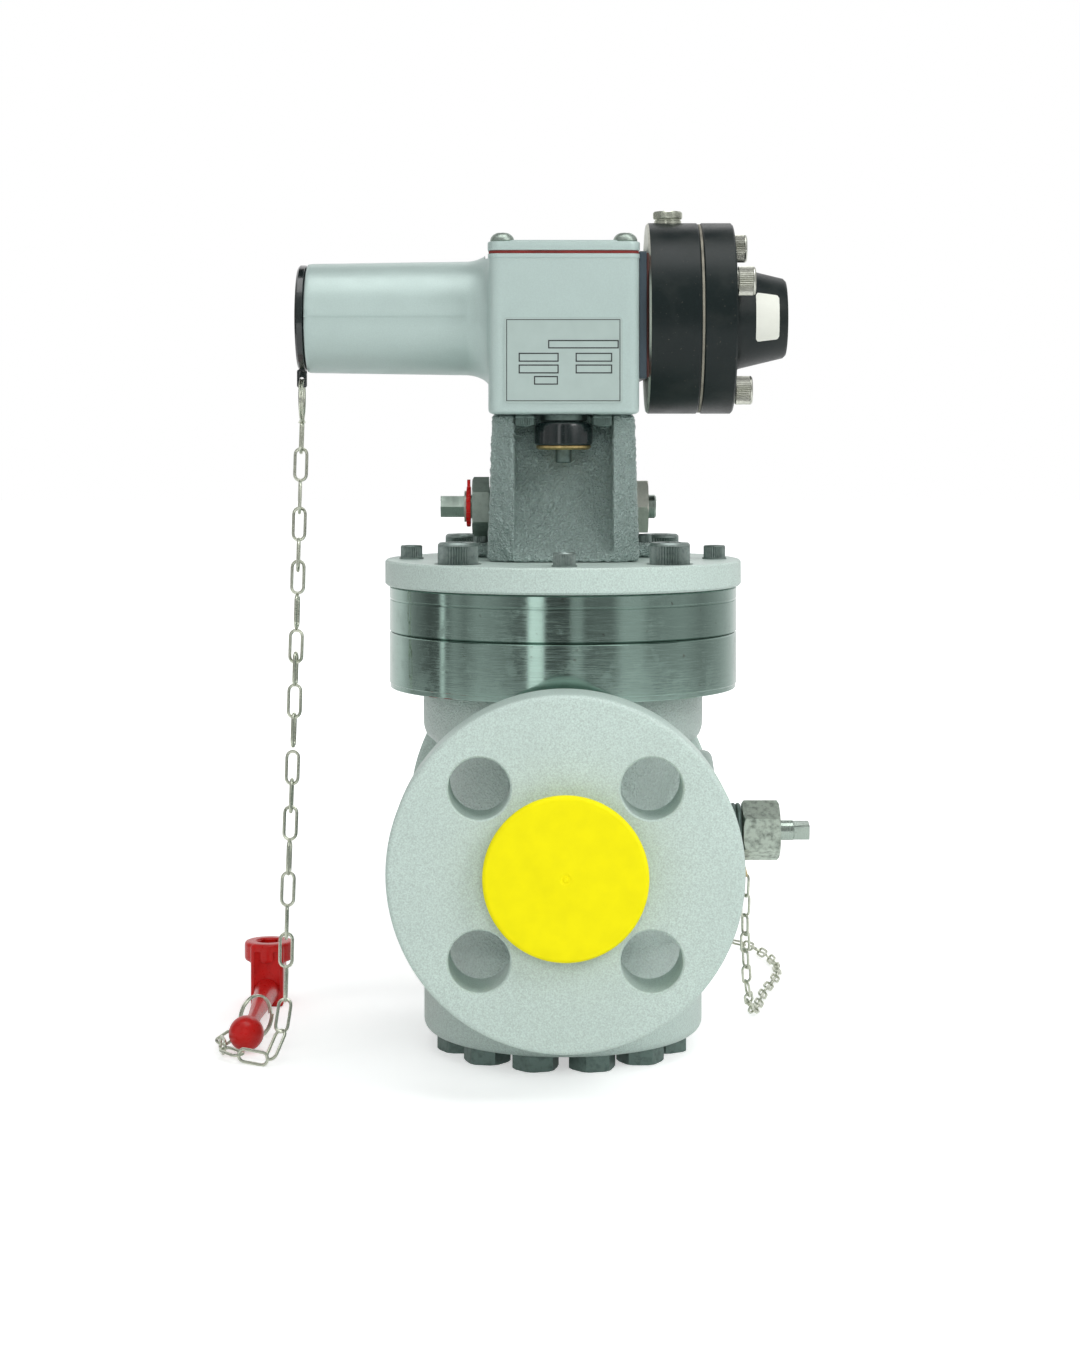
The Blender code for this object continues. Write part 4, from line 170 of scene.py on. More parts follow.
def arc(cx, cz, radius, start, end, steps=6):
    """Points of an arc round (cx, cz), from one angle to another in degrees."""
    angles = [math.radians(start + (end - start) * i / steps) for i in range(steps + 1)]
    return [(cx + radius * math.cos(a), cz + radius * math.sin(a)) for a in angles]


def spun(outline, axis="Z", steps=0, hollow=False, angle=360):
    """A turned shape: an outline of (radius, height) points spun round an axis."""
    steps = steps or sizes().round_steps
    bm = bmesh.new()
    points = [bm.verts.new((radius, 0, height)) for radius, height in outline]
    loop = points + points[:1] if hollow else points
    lines = [bm.edges.new(pair) for pair in zip(loop, loop[1:])]
    bmesh.ops.spin(
        bm,
        geom=points + lines,
        cent=(0, 0, 0),
        axis=(0, 0, 1),
        angle=math.radians(angle),
        steps=steps,
        use_merge=angle == 360,
    )
    tidy(bm)
    return turn(bm, AXIS_TURNS[axis])


def ring(outer, inner, low, high, axis="Z", steps=0, edge=0.0):
    """A turned ring with small chamfers on its outer edges."""
    outline = [(inner, low), (outer - edge, low)]
    if edge:
        outline += [(outer, low + edge), (outer, high - edge)]
    else:
        outline += [(outer, low), (outer, high)]
    outline += [(outer - edge, high)] if edge else []
    return spun(outline + [(inner, high)], axis, steps, hollow=True)


def bar(radius, low, high, axis="Z", steps=48, edge=0.0):
    """A round bar with chamfered ends."""
    outline = [(0, low), (radius - edge, low)]
    if edge:
        outline += [(radius, low + edge), (radius, high - edge)]
    else:
        outline += [(radius, low), (radius, high)]
    outline += [(radius - edge, high)] if edge else []
    return spun(outline + [(0, high)], axis, steps)


def block(low, high, edge=0.0, segments=3, pick=None):
    """A box between two corners, with the picked edges rounded."""
    bm = bmesh.new()
    bmesh.ops.create_cube(bm, size=1)
    middle = (Vector(low) + Vector(high)) / 2
    extent = Vector(high) - Vector(low)
    bmesh.ops.scale(bm, vec=extent, verts=bm.verts)
    bmesh.ops.translate(bm, vec=middle, verts=bm.verts)
    if edge:
        soften(bm, edge, segments, pick)
    return bm


def soften(bm, width, segments=3, pick=None):
    """Rounds the picked edges, or all that are sharp."""
    chosen = [
        e
        for e in bm.edges
        if len(e.link_faces) == 2
        and e.calc_face_angle(0) > math.radians(30)
        and (pick is None or pick(e))
    ]
    bmesh.ops.bevel(
        bm,
        geom=chosen,
        offset=width,
        offset_type="OFFSET",
        segments=segments,
        profile=0.5,
        affect="EDGES",
        material=-1,
    )
    return bm


def upright(edge):
    a, b = (v.co for v in edge.verts)
    return abs(a.z - b.z) > 0.9 * (a - b).length


def along_x(edge):
    a, b = (v.co for v in edge.verts)
    return abs(a.x - b.x) > 0.9 * (a - b).length


def hexagon(across, low, high, axis="Z", phase=0.0, chamfer=0.0, both=False):
    """A hexagon bar whose corners are turned off at its top, or at both ends."""
    corner = across / math.sqrt(3)
    bm = spun([(0, low), (corner, low), (corner, high), (0, high)], "Z", 6)
    rotated(bm, phase)
    if chamfer:
        reach = corner + chamfer
        outline = [(0, low - 1)]
        if both:
            outline += [(corner - chamfer, low - 1), (corner - chamfer, low)]
            outline += [(reach, low + chamfer * 1.2)]
        else:
            outline += [(reach, low - 1)]
        outline += [(reach, high - chamfer * 1.2), (corner - chamfer, high)]
        outline += [(corner - chamfer, high + 1), (0, high + 1)]
        bm = carved(bm, spun(outline, "Z", 48), operation="INTERSECT")
    return turn(bm, AXIS_TURNS[axis])


def merged(*shapes):
    """Several shapes in one mesh, untouched."""
    first, *others = shapes
    for other in others:
        mesh = bpy.data.meshes.new("part")
        other.to_mesh(mesh)
        other.free()
        first.from_mesh(mesh)
        bpy.data.meshes.remove(mesh)
    return first


def circle_places(count, radius, first=0.0):
    angles = [math.radians(first + 360 * i / count) for i in range(count)]
    return [(radius * math.cos(a), radius * math.sin(a)) for a in angles]


def temporary(bm, name="part"):
    mesh = bpy.data.meshes.new(name)
    bm.to_mesh(mesh)
    bm.free()
    made = bpy.data.objects.new(name, mesh)
    bpy.context.scene.collection.objects.link(made)
    return made


def evaluated(target, *helpers):
    """The mesh of an object with its modifiers applied; the helpers are cleared away."""
    graph = bpy.context.evaluated_depsgraph_get()
    mesh = bpy.data.meshes.new_from_object(target.evaluated_get(graph))
    bm = bmesh.new()
    bm.from_mesh(mesh)
    for gone in (target, *helpers):
        data = gone.data
        bpy.data.objects.remove(gone)
        if isinstance(data, bpy.types.Mesh):
            bpy.data.meshes.remove(data)
    bpy.data.meshes.remove(mesh)
    return bm


def carved(base, *others, operation="DIFFERENCE"):
    """The base less the others, or joined with them, or what they share."""
    target = temporary(base)
    tools = [temporary(other, "tool") for other in others]
    for tool in tools:
        modifier = target.modifiers.new("cut", "BOOLEAN")
        modifier.operation = operation
        modifier.solver = "EXACT"
        modifier.object = tool
    return evaluated(target, *tools)


def joined(base, *others):
    return carved(base, *others, operation="UNION")


def cast_surface(bm, voxel, passes):
    """The shape with its corners and seams run together, as in a casting."""
    target = temporary(bm)
    modifier = target.modifiers.new("skin", "REMESH")
    modifier.mode = "VOXEL"
    modifier.voxel_size = voxel
    bm = evaluated(target)
    for _ in range(passes):
        bmesh.ops.smooth_vert(
            bm, verts=bm.verts, factor=0.5, use_axis_x=True, use_axis_y=True, use_axis_z=True
        )
    return bm


def wire(points, radius, closed=False, resolution=3):
    """A round wire along points."""
    curve = bpy.data.curves.new("wire", "CURVE")
    curve.dimensions = "3D"
    curve.bevel_depth = radius
    curve.bevel_resolution = resolution
    curve.use_fill_caps = not closed
    line = curve.splines.new("POLY")
    line.points.add(len(points) - 1)
    for point, place in zip(line.points, points):
        point.co = (*place, 1)
    line.use_cyclic_u = closed
    made = bpy.data.objects.new("wire", curve)
    bpy.context.scene.collection.objects.link(made)
    bm = evaluated(made)
    bpy.data.curves.remove(curve)
    return tidy(bm)


def finish(name, bm, look, replaces=(), sharp=32, body="valve"):
    """The finished piece: in metres at its place, with its look and body."""
    bmesh.ops.scale(bm, vec=(MM,) * 3, verts=bm.verts)
    move(bm, x=AXIS_X)
    mesh = bpy.data.meshes.new(name)
    mesh.materials.append(LOOKS[look])
    bm.to_mesh(mesh)
    bm.free()
    mesh.shade_smooth()
    mesh.set_sharp_from_angle(angle=math.radians(sharp))
    made = bpy.data.objects.new(name, mesh)
    bpy.context.scene.collection.objects.link(made)
    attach(made, body)
    if replaces:
        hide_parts(*replaces)
    return made


def cap_screw(head_d, head_h, teeth=40, socket=0.56):
    """A socket cap screw's head with its knurl, standing on Z = 0."""
    radius = head_d / 2
    edge = head_h * 0.07
    knurl_low = head_h * 0.06
    knurl_high = head_h * 0.86
    bm = spun(
        [
            (0, -0.6), (radius - edge, -0.6), (radius - edge, 0), (radius, knurl_low),
            (radius, knurl_low + 0.1), (radius, knurl_high), (radius, knurl_high + 0.1),
            (radius, head_h - edge), (radius - edge, head_h), (radius * 0.66, head_h), (0, head_h),
        ],
        "Z",
        2 * teeth,
    )
    depth = sizes().knurl_depth * head_d / 18
    for v in bm.verts:
        around = math.hypot(v.co.x, v.co.y)
        inside = knurl_low + 0.05 < v.co.z < knurl_high + 0.05
        step = round(math.atan2(v.co.y, v.co.x) / (math.pi / teeth))
        if inside and around > radius - MERGE and step % 2:
            v.co.x *= 1 - depth / radius
            v.co.y *= 1 - depth / radius
    hole = hexagon(head_d * socket, head_h * 0.45, head_h + 2)
    flare = spun(
        [
            (0, head_h - 0.5), (head_d * socket * 0.5, head_h - 0.5),
            (head_d * socket * 0.62, head_h + 0.2), (0, head_h + 0.2),
        ],
        "Z",
        32,
    )
    return carved(bm, hole, flare)


def pan_screw(head_d, head_h, socket=0.42):
    """A low round screw head with a small hexagon socket, standing on Z = 0."""
    radius = head_d / 2
    outline = [(0, -0.4), (radius * 0.94, -0.4), (radius, 0.3)]
    outline += [
        (radius * math.cos(a), 0.3 + (head_h - 0.3) * math.sin(a))
        for a in (math.radians(12 * i) for i in range(1, 7))
    ]
    outline += [(0, outline[-1][1])]
    bm = spun(outline, "Z", 40)
    return carved(bm, hexagon(head_d * socket, head_h * 0.35, head_h + 2))


# --- Finishes


class Wire:
    """A shader value that sums and products can be written with."""

    def __init__(self, graph, socket):
        self.graph = graph
        self.socket = socket

    def maths(self, operation, first, second):
        return self.graph.add("ShaderNodeMath", {"operation": operation}, {0: first, 1: second})

    def __add__(self, other):
        return self.maths("ADD", self, other)

    def __mul__(self, other):
        return self.maths("MULTIPLY", self, other)

    __radd__ = __add__
    __rmul__ = __mul__


def full(colour, share=1.0):
    """A colour with its alpha, made lighter or darker."""
    return (*[min(1, c * share) for c in colour], 1)


class Graph:
    """The nodes of one finish, on the object's own coordinates in millimetres."""

    def __init__(self, name):
        self.look = bpy.data.materials.new(name)
        self.look.use_nodes = True
        self.tree = self.look.node_tree
        self.shader = self.tree.nodes["Principled BSDF"]

    def add(self, kind, settings=None, sockets=None, output=0):
        node = self.tree.nodes.new(kind)
        for key, value in (settings or {}).items():
            setattr(node, key, value)
        for key, value in (sockets or {}).items():
            self.plug(node.inputs[key], value)
        return Wire(self, node.outputs[output])

    def plug(self, target, value):
        if isinstance(value, Wire):
            self.tree.links.new(value.socket, target)
        else:
            target.default_value = value

    def place(self, stretch=(1, 1, 1)):
        spot = self.add("ShaderNodeTexCoord", output="Object")
        scale = tuple(s / MM for s in stretch)
        return self.add("ShaderNodeMapping", None, {"Vector": spot, "Scale": scale})

    def noise(self, grain, detail=2.0, stretch=(1, 1, 1), rough=0.5):
        """Noise whose grain is about that many millimetres."""
        values = {"Vector": self.place(stretch), "Scale": 1 / grain}
        values.update({"Detail": detail, "Roughness": rough})
        return self.add("ShaderNodeTexNoise", None, values)

    def between(self, value, low, high, out_low=0.0, out_high=1.0):
        values = {0: value, 1: low, 2: high, 3: out_low, 4: out_high}
        return self.add("ShaderNodeMapRange", None, values)

    def blend(self, factor, first, second):
        settings = {"data_type": "RGBA", "blend_type": "MIX"}
        return self.add("ShaderNodeMix", settings, {0: factor, 6: first, 7: second}, 2)

    def bump(self, height, depth):
        """A bump whose height runs over that many millimetres."""
        values = {"Strength": 1.0, "Distance": depth * MM, "Height": height}
        return self.add("ShaderNodeBump", None, values)

    def shade(self, **values):
        for key, value in values.items():
            self.plug(self.shader.inputs[key.replace("_", " ")], value)
        return self.look


def paint(name, colour, grain=0.8, contrast=0.10, roughness=0.42, metallic=0.0, peel=0.03):
    """Sprayed metallic paint: fine speckle, slow drift and orange peel."""
    g = Graph(name)
    speckle = g.between(g.noise(grain, 3, rough=0.7), 0.32, 0.68)
    drift = g.between(g.noise(38, 2), 0.3, 0.7)
    fine = g.blend(speckle, full(colour, 1 - contrast), full(colour, 1 + contrast))
    base = g.blend(drift * 0.22, fine, full(colour, 0.86))
    worn = g.between(g.noise(9, 3), 0.35, 0.7, roughness - 0.05, roughness + 0.08)
    skin = g.noise(1.9, 2) + speckle * 0.35
    return g.shade(Base_Color=base, Roughness=worn, Metallic=metallic, Normal=g.bump(skin, peel))


def rough_casting(name, colour, metallic=0.35, depth=2.2):
    """Paint over a sand-cast surface with its pits and lumps."""
    g = Graph(name)
    lumps = g.noise(1.9, 3, rough=0.6)
    pits = g.between(g.noise(0.9, 2), 0.3, 0.62)
    base = g.blend(pits, full(colour, 0.84), full(colour, 1.06))
    drift = g.between(g.noise(16, 2), 0.35, 0.7)
    base = g.blend(drift * 0.2, base, full(colour, 0.78))
    return g.shade(
        Base_Color=base,
        Roughness=g.between(lumps, 0.3, 0.7, 0.42, 0.28),
        Metallic=metallic,
        Normal=g.bump(lumps + pits * 0.4, depth),
    )


def turned_steel(name, colour, axis="Z", roughness=0.24, stain=0.35):
    """Turned metal: fine tool lines round the axis, and faint stains."""
    g = Graph(name)
    along = {"X": (1, 0.03, 0.03), "Y": (0.03, 1, 0.03), "Z": (0.03, 0.03, 1)}[axis]
    lines = g.noise(0.28, 2, along, 0.6)
    bands = g.noise(1.8, 2, along)
    stains = g.between(g.noise(13, 5, rough=0.65), 0.52, 0.7)
    drips = g.between(g.noise(6, 3, (1, 1, 0.22)), 0.58, 0.72)
    spots = g.between(g.noise(2.2, 2), 0.70, 0.76)
    base = g.blend(bands, full(colour, 0.95), full(colour, 1.05))
    base = g.blend(stains * stain, base, full(colour, 0.6))
    base = g.blend(drips * (stain * 0.6), base, full(colour, 0.72))
    base = g.blend(spots * 0.5, base, full((0.10, 0.085, 0.06)))
    rough = g.between(lines, 0.3, 0.7, roughness - 0.05, roughness + 0.07)
    return g.shade(
        Base_Color=base,
        Roughness=rough + stains * 0.12,
        Metallic=1.0,
        Normal=g.bump(lines + bands * 0.3, 0.0018),
    )


def plated(name, colour, roughness=0.35, stain=0.3, grain=3.0, dark=0.35):
    """Plated metal with handling stains."""
    g = Graph(name)
    cloud = g.between(g.noise(grain, 4, rough=0.6), 0.45, 0.68)
    fine = g.noise(0.6, 2)
    base = g.blend(fine, full(colour, 0.88), full(colour, 1.1))
    base = g.blend(cloud * stain, base, full(colour, dark))
    rough = g.between(fine, 0.3, 0.7, roughness - 0.06, roughness + 0.08)
    return g.shade(
        Base_Color=base, Roughness=rough + cloud * 0.1, Metallic=1.0, Normal=g.bump(fine, 0.02)
    )


def anodised(name, colour, roughness=0.34, dust=0.5):
    """Black anodised alloy with dust and a few rubbed spots."""
    g = Graph(name)
    g.shader.inputs["Specular IOR Level"].default_value = 0.3
    fine = g.noise(0.7, 3)
    specks = g.between(g.noise(1.5, 3, rough=0.7), 0.66, 0.74)
    haze = g.between(g.noise(14, 4), 0.5, 0.75)
    base = g.blend(fine, full(colour, 0.7), full(colour, 1.3))
    base = g.blend(haze * 0.25, base, full((0.045, 0.05, 0.045)))
    base = g.blend(specks * dust, base, full((0.13, 0.12, 0.09)))
    rough = g.between(fine, 0.3, 0.7, roughness - 0.05, roughness + 0.07)
    return g.shade(Base_Color=base, Roughness=rough + haze * 0.12, Normal=g.bump(fine, 0.012))


def moulded(name, colour, roughness=0.35, coat=0.0, grain=0.02, mottle=0.06, shine=0.5):
    """Moulded plastic or enamel with a slight unevenness."""
    g = Graph(name)
    g.shader.inputs["Specular IOR Level"].default_value = shine
    cloud = g.between(g.noise(7, 3), 0.3, 0.7)
    fine = g.noise(0.8, 2)
    base = g.blend(cloud, full(colour, 1 - mottle), full(colour, 1 + mottle))
    rough = g.between(fine, 0.3, 0.7, roughness - 0.04, roughness + 0.06)
    g.shader.inputs["Coat Roughness"].default_value = 0.08
    return g.shade(
        Base_Color=base, Roughness=rough, Coat_Weight=coat, Normal=g.bump(fine + cloud * 2, grain)
    )


LOOKS = {}


def make_looks():
    c = bpy.context.scene.valve_colours
    LOOKS.update(
        body=paint("body_paint_fine", c.body, 0.7, 0.2, 0.46),
        box=paint("box_paint_fine", c.box, 0.55, 0.05, 0.34, 0.15, 0.02),
        # the mount plate drawn dark blue-black: painted shade for the strip it shows between the
        # box and the head
        primer=paint("blue_primer", (0.035, 0.055, 0.07), 0.5, 0.08, 0.4),
        # a darker copy of the red gasket: painted shade in the gap between the mount plate and the
        # head
        dark_gasket=moulded("brown_gasket_fibre", (0.07, 0.022, 0.018), 0.62, 0.0, 0.05, 0.2),
        # the tower's paint darkened: rough finish and painted shade under the box
        casting=rough_casting("rough_paint_fine", c.casting),
        # the body's paint darkened: cast finish and painted shade
        cast_body=rough_casting("body_cast_paint", c.cast_body, 0.3, 0.7),
        ring=turned_steel("turned_ring_steel", c.steel, "Z", 0.09, 0.3),
        steel=plated("plain_steel", c.steel, 0.3, 0.25),
        rod=turned_steel("turned_rod_steel", c.zinc, "X", 0.28, 0.2),
        zinc=plated("zinc_plate", c.zinc, 0.38, 0.3),
        stained=plated("stained_zinc", (0.52, 0.60, 0.52), 0.36, 0.7, 3.0, 0.2),
        # darker than the screws' dark zinc: partly the parts' own dull finish, partly painted
        # shade for where they sit under the body, under the box and beside the flanges
        bolt=plated("dull_zinc_bolt", (0.16, 0.22, 0.20), 0.5, 0.4, 2.5, 0.5),
        screw=plated("dark_zinc_screw", c.screw, 0.42, 0.45, 2.0, 0.5),
        bright_screw=plated("bright_screw", c.alloy, 0.33, 0.25, 2.4),
        nickel=plated("nickel_plate", c.nickel, 0.28, 0.35, 2.2, 0.3),
        brass=plated("brass", c.brass, 0.32, 0.5, 1.6, 0.3),
        alloy=plated("light_alloy", c.alloy, 0.4, 0.2),
        alloy_plate=moulded("plate_alloy", (0.42, 0.52, 0.49), 0.36, 0.0, 0.01, 0.03),
        black=anodised("black_anodised", c.black),
        gloss=moulded("gloss_black", c.black, 0.22, 0.6, 0.01, 0.2),
        red=moulded("red_enamel", c.red, 0.3, 0.15, 0.03, 0.1, 0.25),
        gasket=moulded("red_gasket_fibre", c.gasket, 0.62, 0.0, 0.05, 0.2),
        yellow=moulded("yellow_polythene", c.yellow, 0.5, 0.0, 0.02, 0.03, 0.12),
        paper=moulded("bare_sticker", c.paper, 0.5, 0.0, 0.02, 0.03),
        cloth=moulded("diaphragm_cloth", (0.26, 0.25, 0.20), 0.7, 0.0, 0.03, 0.3),
        rubber=moulded("rubber", (0.02, 0.02, 0.02), 0.7, 0.0, 0.05, 0.2),
        ink=moulded("plate_ink", (0.03, 0.035, 0.035), 0.5, 0.0, 0.01, 0.1),
        spring=plated("spring_steel", c.steel, 0.35, 0.3),
    )


def sizes():
    return bpy.context.scene.valve_sizes


# --- Stage


STAGE_MIDDLE = (0, 0, 0.2)


def lamp(name, spot, width, height, power):
    light = bpy.data.lights.new(name, "AREA")
    light.shape = "RECTANGLE"
    light.size = width
    light.size_y = height
    light.energy = power
    made = bpy.data.objects.new(name, light)
    bpy.context.scene.collection.objects.link(made)
    made.location = spot
    way = Vector(STAGE_MIDDLE) - Vector(spot)
    made.rotation_euler = way.to_track_quat("-Z", "Y").to_euler()
    made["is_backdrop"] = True
    return made


def shadow_floor():
    """A pale floor that shows white by a painted glow and is darkened where the valve shades it;
    near the valve the glow is painted at half strength, as painted shade round it, rising to full
    from 1.3 m out, and it glows faintly to reflections too.
    """
    g = Graph("studio_floor")
    g.shade(Base_Color=(0.86, 0.87, 0.87, 1), Roughness=0.9, Specular_IOR_Level=0.0)
    seen = g.add("ShaderNodeLightPath", output="Is Camera Ray")
    glossy = g.add("ShaderNodeLightPath", output="Is Glossy Ray")
    spot = g.add("ShaderNodeTexCoord", output="Object")
    away = g.add("ShaderNodeVectorMath", {"operation": "LENGTH"}, {0: spot}, 1)
    # painted glow to the camera: half strength near the valve as painted shade, full from 1.3 m
    # out
    glow = g.between(away, 0.35, 1.3, 0.5, 1.0)
    g.shade(Emission_Color=seen * glow + glossy * 0.3, Emission_Strength=1.0)
    bm = bmesh.new()
    bmesh.ops.create_grid(bm, x_segments=1, y_segments=1, size=9)
    staged("studio_floor", bm, g.look)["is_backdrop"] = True


WORLD_LEVEL = 0.24


def studio_world():
    """White to the camera and to reflections, and a plain grey light otherwise."""
    world = bpy.data.worlds.new("studio")
    world.use_nodes = True
    bpy.context.scene.world = world
    nodes, links = world.node_tree.nodes, world.node_tree.links
    paths = nodes.new("ShaderNodeLightPath")
    seen = paths.outputs["Is Camera Ray"]
    for kind in ("Is Glossy Ray", "Is Transmission Ray"):
        both = nodes.new("ShaderNodeMath")
        links.new(seen, both.inputs[0])
        links.new(paths.outputs[kind], both.inputs[1])
        seen = both.outputs[0]
    level = nodes.new("ShaderNodeMapRange")
    level.inputs["To Min"].default_value = WORLD_LEVEL
    links.new(seen, level.inputs["Value"])
    back = nodes["Background"]
    links.new(level.outputs[0], back.inputs["Strength"])
    back.inputs["Color"].default_value = (1, 1, 1, 1)


def reflections_only(made):
    made.visible_camera = False
    made.visible_diffuse = False
    made.visible_shadow = False
    made.visible_transmission = False
    made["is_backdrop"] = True


# The studio's walls as the turned steel shows them: azimuth from the camera's side in
# degrees, and brightness.
WALL_PANELS = (
    (-180, 0.95), (-132, 0.90), (-114, 0.36), (-96, 0.14), (-87, 0.16), (-85, 1.10), (-83, 1.10),
    (-81, 0.24), (-74, 0.46), (-66, 0.30), (-56, 0.50), (-42, 0.40), (-28, 0.20), (-23.5, 0.24),
    (-21, 1.60), (-13.5, 1.45), (-11, 0.14), (0, 0.12), (3, 0.14), (6, 0.52), (11, 0.48),
    (14, 0.22), (31, 0.26), (38, 0.62), (50, 0.60), (57, 0.38), (82, 0.48), (100, 0.34),
    (120, 0.52), (150, 0.90), (180, 0.95),
)
WALL_RADIUS = 1.6
WALL_HEIGHT = 2.0


def studio_wall():
    """A round wall of soft panels that only reflections see."""
    g = Graph("studio_wall")
    spot = g.add("ShaderNodeTexCoord", output="Object")
    apart = g.add("ShaderNodeSeparateXYZ", None, {"Vector": spot})
    across = Wire(g, apart.socket.node.outputs["X"])
    along = Wire(g, apart.socket.node.outputs["Y"])
    azimuth = across.maths("ARCTAN2", across, along * -1)
    share = g.between(azimuth, -math.pi, math.pi)
    ramp = g.tree.nodes.new("ShaderNodeValToRGB")
    stops = ramp.color_ramp.elements
    while len(stops) < len(WALL_PANELS):
        stops.new(0.5)
    for stop, (angle, shade) in zip(stops, WALL_PANELS):
        stop.position = (angle + 180) / 360
        stop.color = (shade / 2, shade / 2, shade / 2, 1)
    g.plug(ramp.inputs[0], share)
    g.shade(Base_Color=(0, 0, 0, 1), Roughness=1.0, Specular_IOR_Level=0.0)
    g.shade(Emission_Color=Wire(g, ramp.outputs[0]), Emission_Strength=2.0)
    bm = bmesh.new()
    bmesh.ops.create_cone(
        bm, segments=96, radius1=WALL_RADIUS, radius2=WALL_RADIUS, depth=WALL_HEIGHT
    )
    move(bm, z=WALL_HEIGHT / 2)
    reflections_only(staged("studio_wall", bm, g.look))


def dark_ceiling():
    """A dark card above and behind the valve that only reflections see."""
    g = Graph("dark_ceiling")
    g.shade(Base_Color=full((0.05,) * 3), Roughness=1.0, Specular_IOR_Level=0.0)
    bm = bmesh.new()
    bmesh.ops.create_grid(bm, x_segments=1, y_segments=1, size=0.5)
    bmesh.ops.scale(bm, vec=(3.2, 1.6, 1), verts=bm.verts)
    move(bm, y=0.95, z=1.98)
    reflections_only(staged("dark_ceiling", bm, g.look))


def staged(name, bm, look):
    mesh = bpy.data.meshes.new(name)
    bm.to_mesh(mesh)
    bm.free()
    mesh.materials.append(look)
    made = bpy.data.objects.new(name, mesh)
    bpy.context.scene.collection.objects.link(made)
    return made


CAMERA_SPOT = (-0.00605, -1.1836, 0.283)
CAMERA_SHIFT = -0.1815
CAMERA_LENS = 68.27


def set_stage():
    scene = bpy.context.scene
    scene.view_settings.view_transform = "Standard"
    eye = bpy.data.cameras.new("photo_camera")
    eye.lens = CAMERA_LENS
    eye.shift_y = CAMERA_SHIFT
    eye.clip_start = 0.01
    camera = bpy.data.objects.new("photo_camera", eye)
    camera.location = CAMERA_SPOT
    camera.rotation_euler = (math.radians(90), 0, 0)
    scene.collection.objects.link(camera)
    scene.camera = camera
    camera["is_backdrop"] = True
    studio_world()
    shadow_floor()
    lamp("key_right", (1.25, -1.15, 1.3), 0.7, 0.7, 11.5)
    front = lamp("front", (0.1, -1.75, 0.75), 0.8, 0.6, 8.6)
    front.visible_glossy = False
    lamp("fill_left", (-1.5, -1.0, 0.9), 0.7, 0.9, 4)
    lamp("side_right", (1.7, -0.1, 0.8), 0.8, 0.9, 3.5)
    lamp("top", (0.1, -0.25, 1.8), 1.3, 1.0, 7.8)
    lamp("rear", (0.4, 1.7, 1.3), 1.5, 0.9, 9)
    studio_wall()
    dark_ceiling()


# --- Chains and rings


def smooth_route(route, spacing):
    """Points about that far apart on a smooth curve through the route's own points."""
    ends = [2 * route[0] - route[1], *route, 2 * route[-1] - route[-2]]
    fine = []
    for before, here, after, beyond in zip(ends, ends[1:], ends[2:], ends[3:]):
        for i in range(24):
            t = i / 24
            fine.append(
                0.5
                * (
                    2 * here
                    + (after - before) * t
                    + (2 * before - 5 * here + 4 * after - beyond) * t * t
                    + (3 * here - before - 3 * after + beyond) * t * t * t
                )
            )
    fine.append(route[-1])
    length = sum((b - a).length for a, b in zip(fine, fine[1:]))
    count = max(2, round(length / spacing))
    points = [fine[0]]
    walked = 0.0
    for a, b in zip(fine, fine[1:]):
        walked += (b - a).length
        if walked >= length * len(points) / count and len(points) < count:
            points.append(b)
    points.append(fine[-1])
    return points


def route_length(points):
    return sum((b - a).length for a, b in zip(points, points[1:]))


def chain_link(length, width, thick):
    """One long link with its length along X, lying in the XY plane."""
    r = thick / 2
    half = (length - width) / 2
    bend = (width - thick) / 2
    line = []
    for side in (1, -1):
        for i in range(9):
            a = math.radians(-90 + 180 * i / 8)
            line.append((side * (half + bend * math.cos(a)), side * bend * math.sin(a), 0))
    return wire(line, r, closed=True, resolution=2)


def chain(route, length, width, thick, turns):
    """Links along a route, each turned a quarter from the one before it."""
    pitch = length - 2 * thick
    dense = smooth_route(route, 0.8)
    total = route_length(dense)
    count = int(total / pitch)
    pitch = total / count
    link = chain_link(length, width, thick)
    mesh = bpy.data.meshes.new("link")
    link.to_mesh(mesh)
    link.free()
    made = bmesh.new()
    rng = random.Random(7)
    walked = 0.0
    at = 0
    side = Vector((0, 1, 0))
    for k in range(count):
        middle = (k + 0.5) * pitch
        while at < len(dense) - 2 and walked + (dense[at + 1] - dense[at]).length < middle:
            walked += (dense[at + 1] - dense[at]).length
            at += 1
        spot = dense[at]
        ahead = dense[min(at + 8, len(dense) - 1)] - dense[max(at - 8, 0)]
        ahead.normalize()
        side = (side - ahead * side.dot(ahead)).normalized()
        low = spot.z < 12
        angle = math.radians(90 * (k % 2) + (45 if low else turns) + rng.uniform(-9, 9))
        wave = side.cross(ahead)
        across = side * math.cos(angle) + wave * math.sin(angle)
        up = ahead.cross(across)
        basis = Matrix((ahead, across, up)).transposed().to_4x4()
        start = len(made.verts)
        made.from_mesh(mesh)
        made.verts.ensure_lookup_table()
        new = made.verts[start:]
        bmesh.ops.transform(made, matrix=Matrix.Translation(spot) @ basis, verts=new)
    bpy.data.meshes.remove(mesh)
    return made


def split_ring(outer, thick, pitch, turns=2.0):
    """A key ring of sprung wire, coiled about Z."""
    r = thick / 2
    steps = int(36 * turns)
    line = []
    for i in range(steps + 1):
        a = 2 * math.pi * turns * i / steps
        rise = pitch * (i / steps - 0.5) * turns
        line.append(((outer / 2 - r) * math.cos(a), (outer / 2 - r) * math.sin(a), rise))
    return wire(line, r, resolution=3)


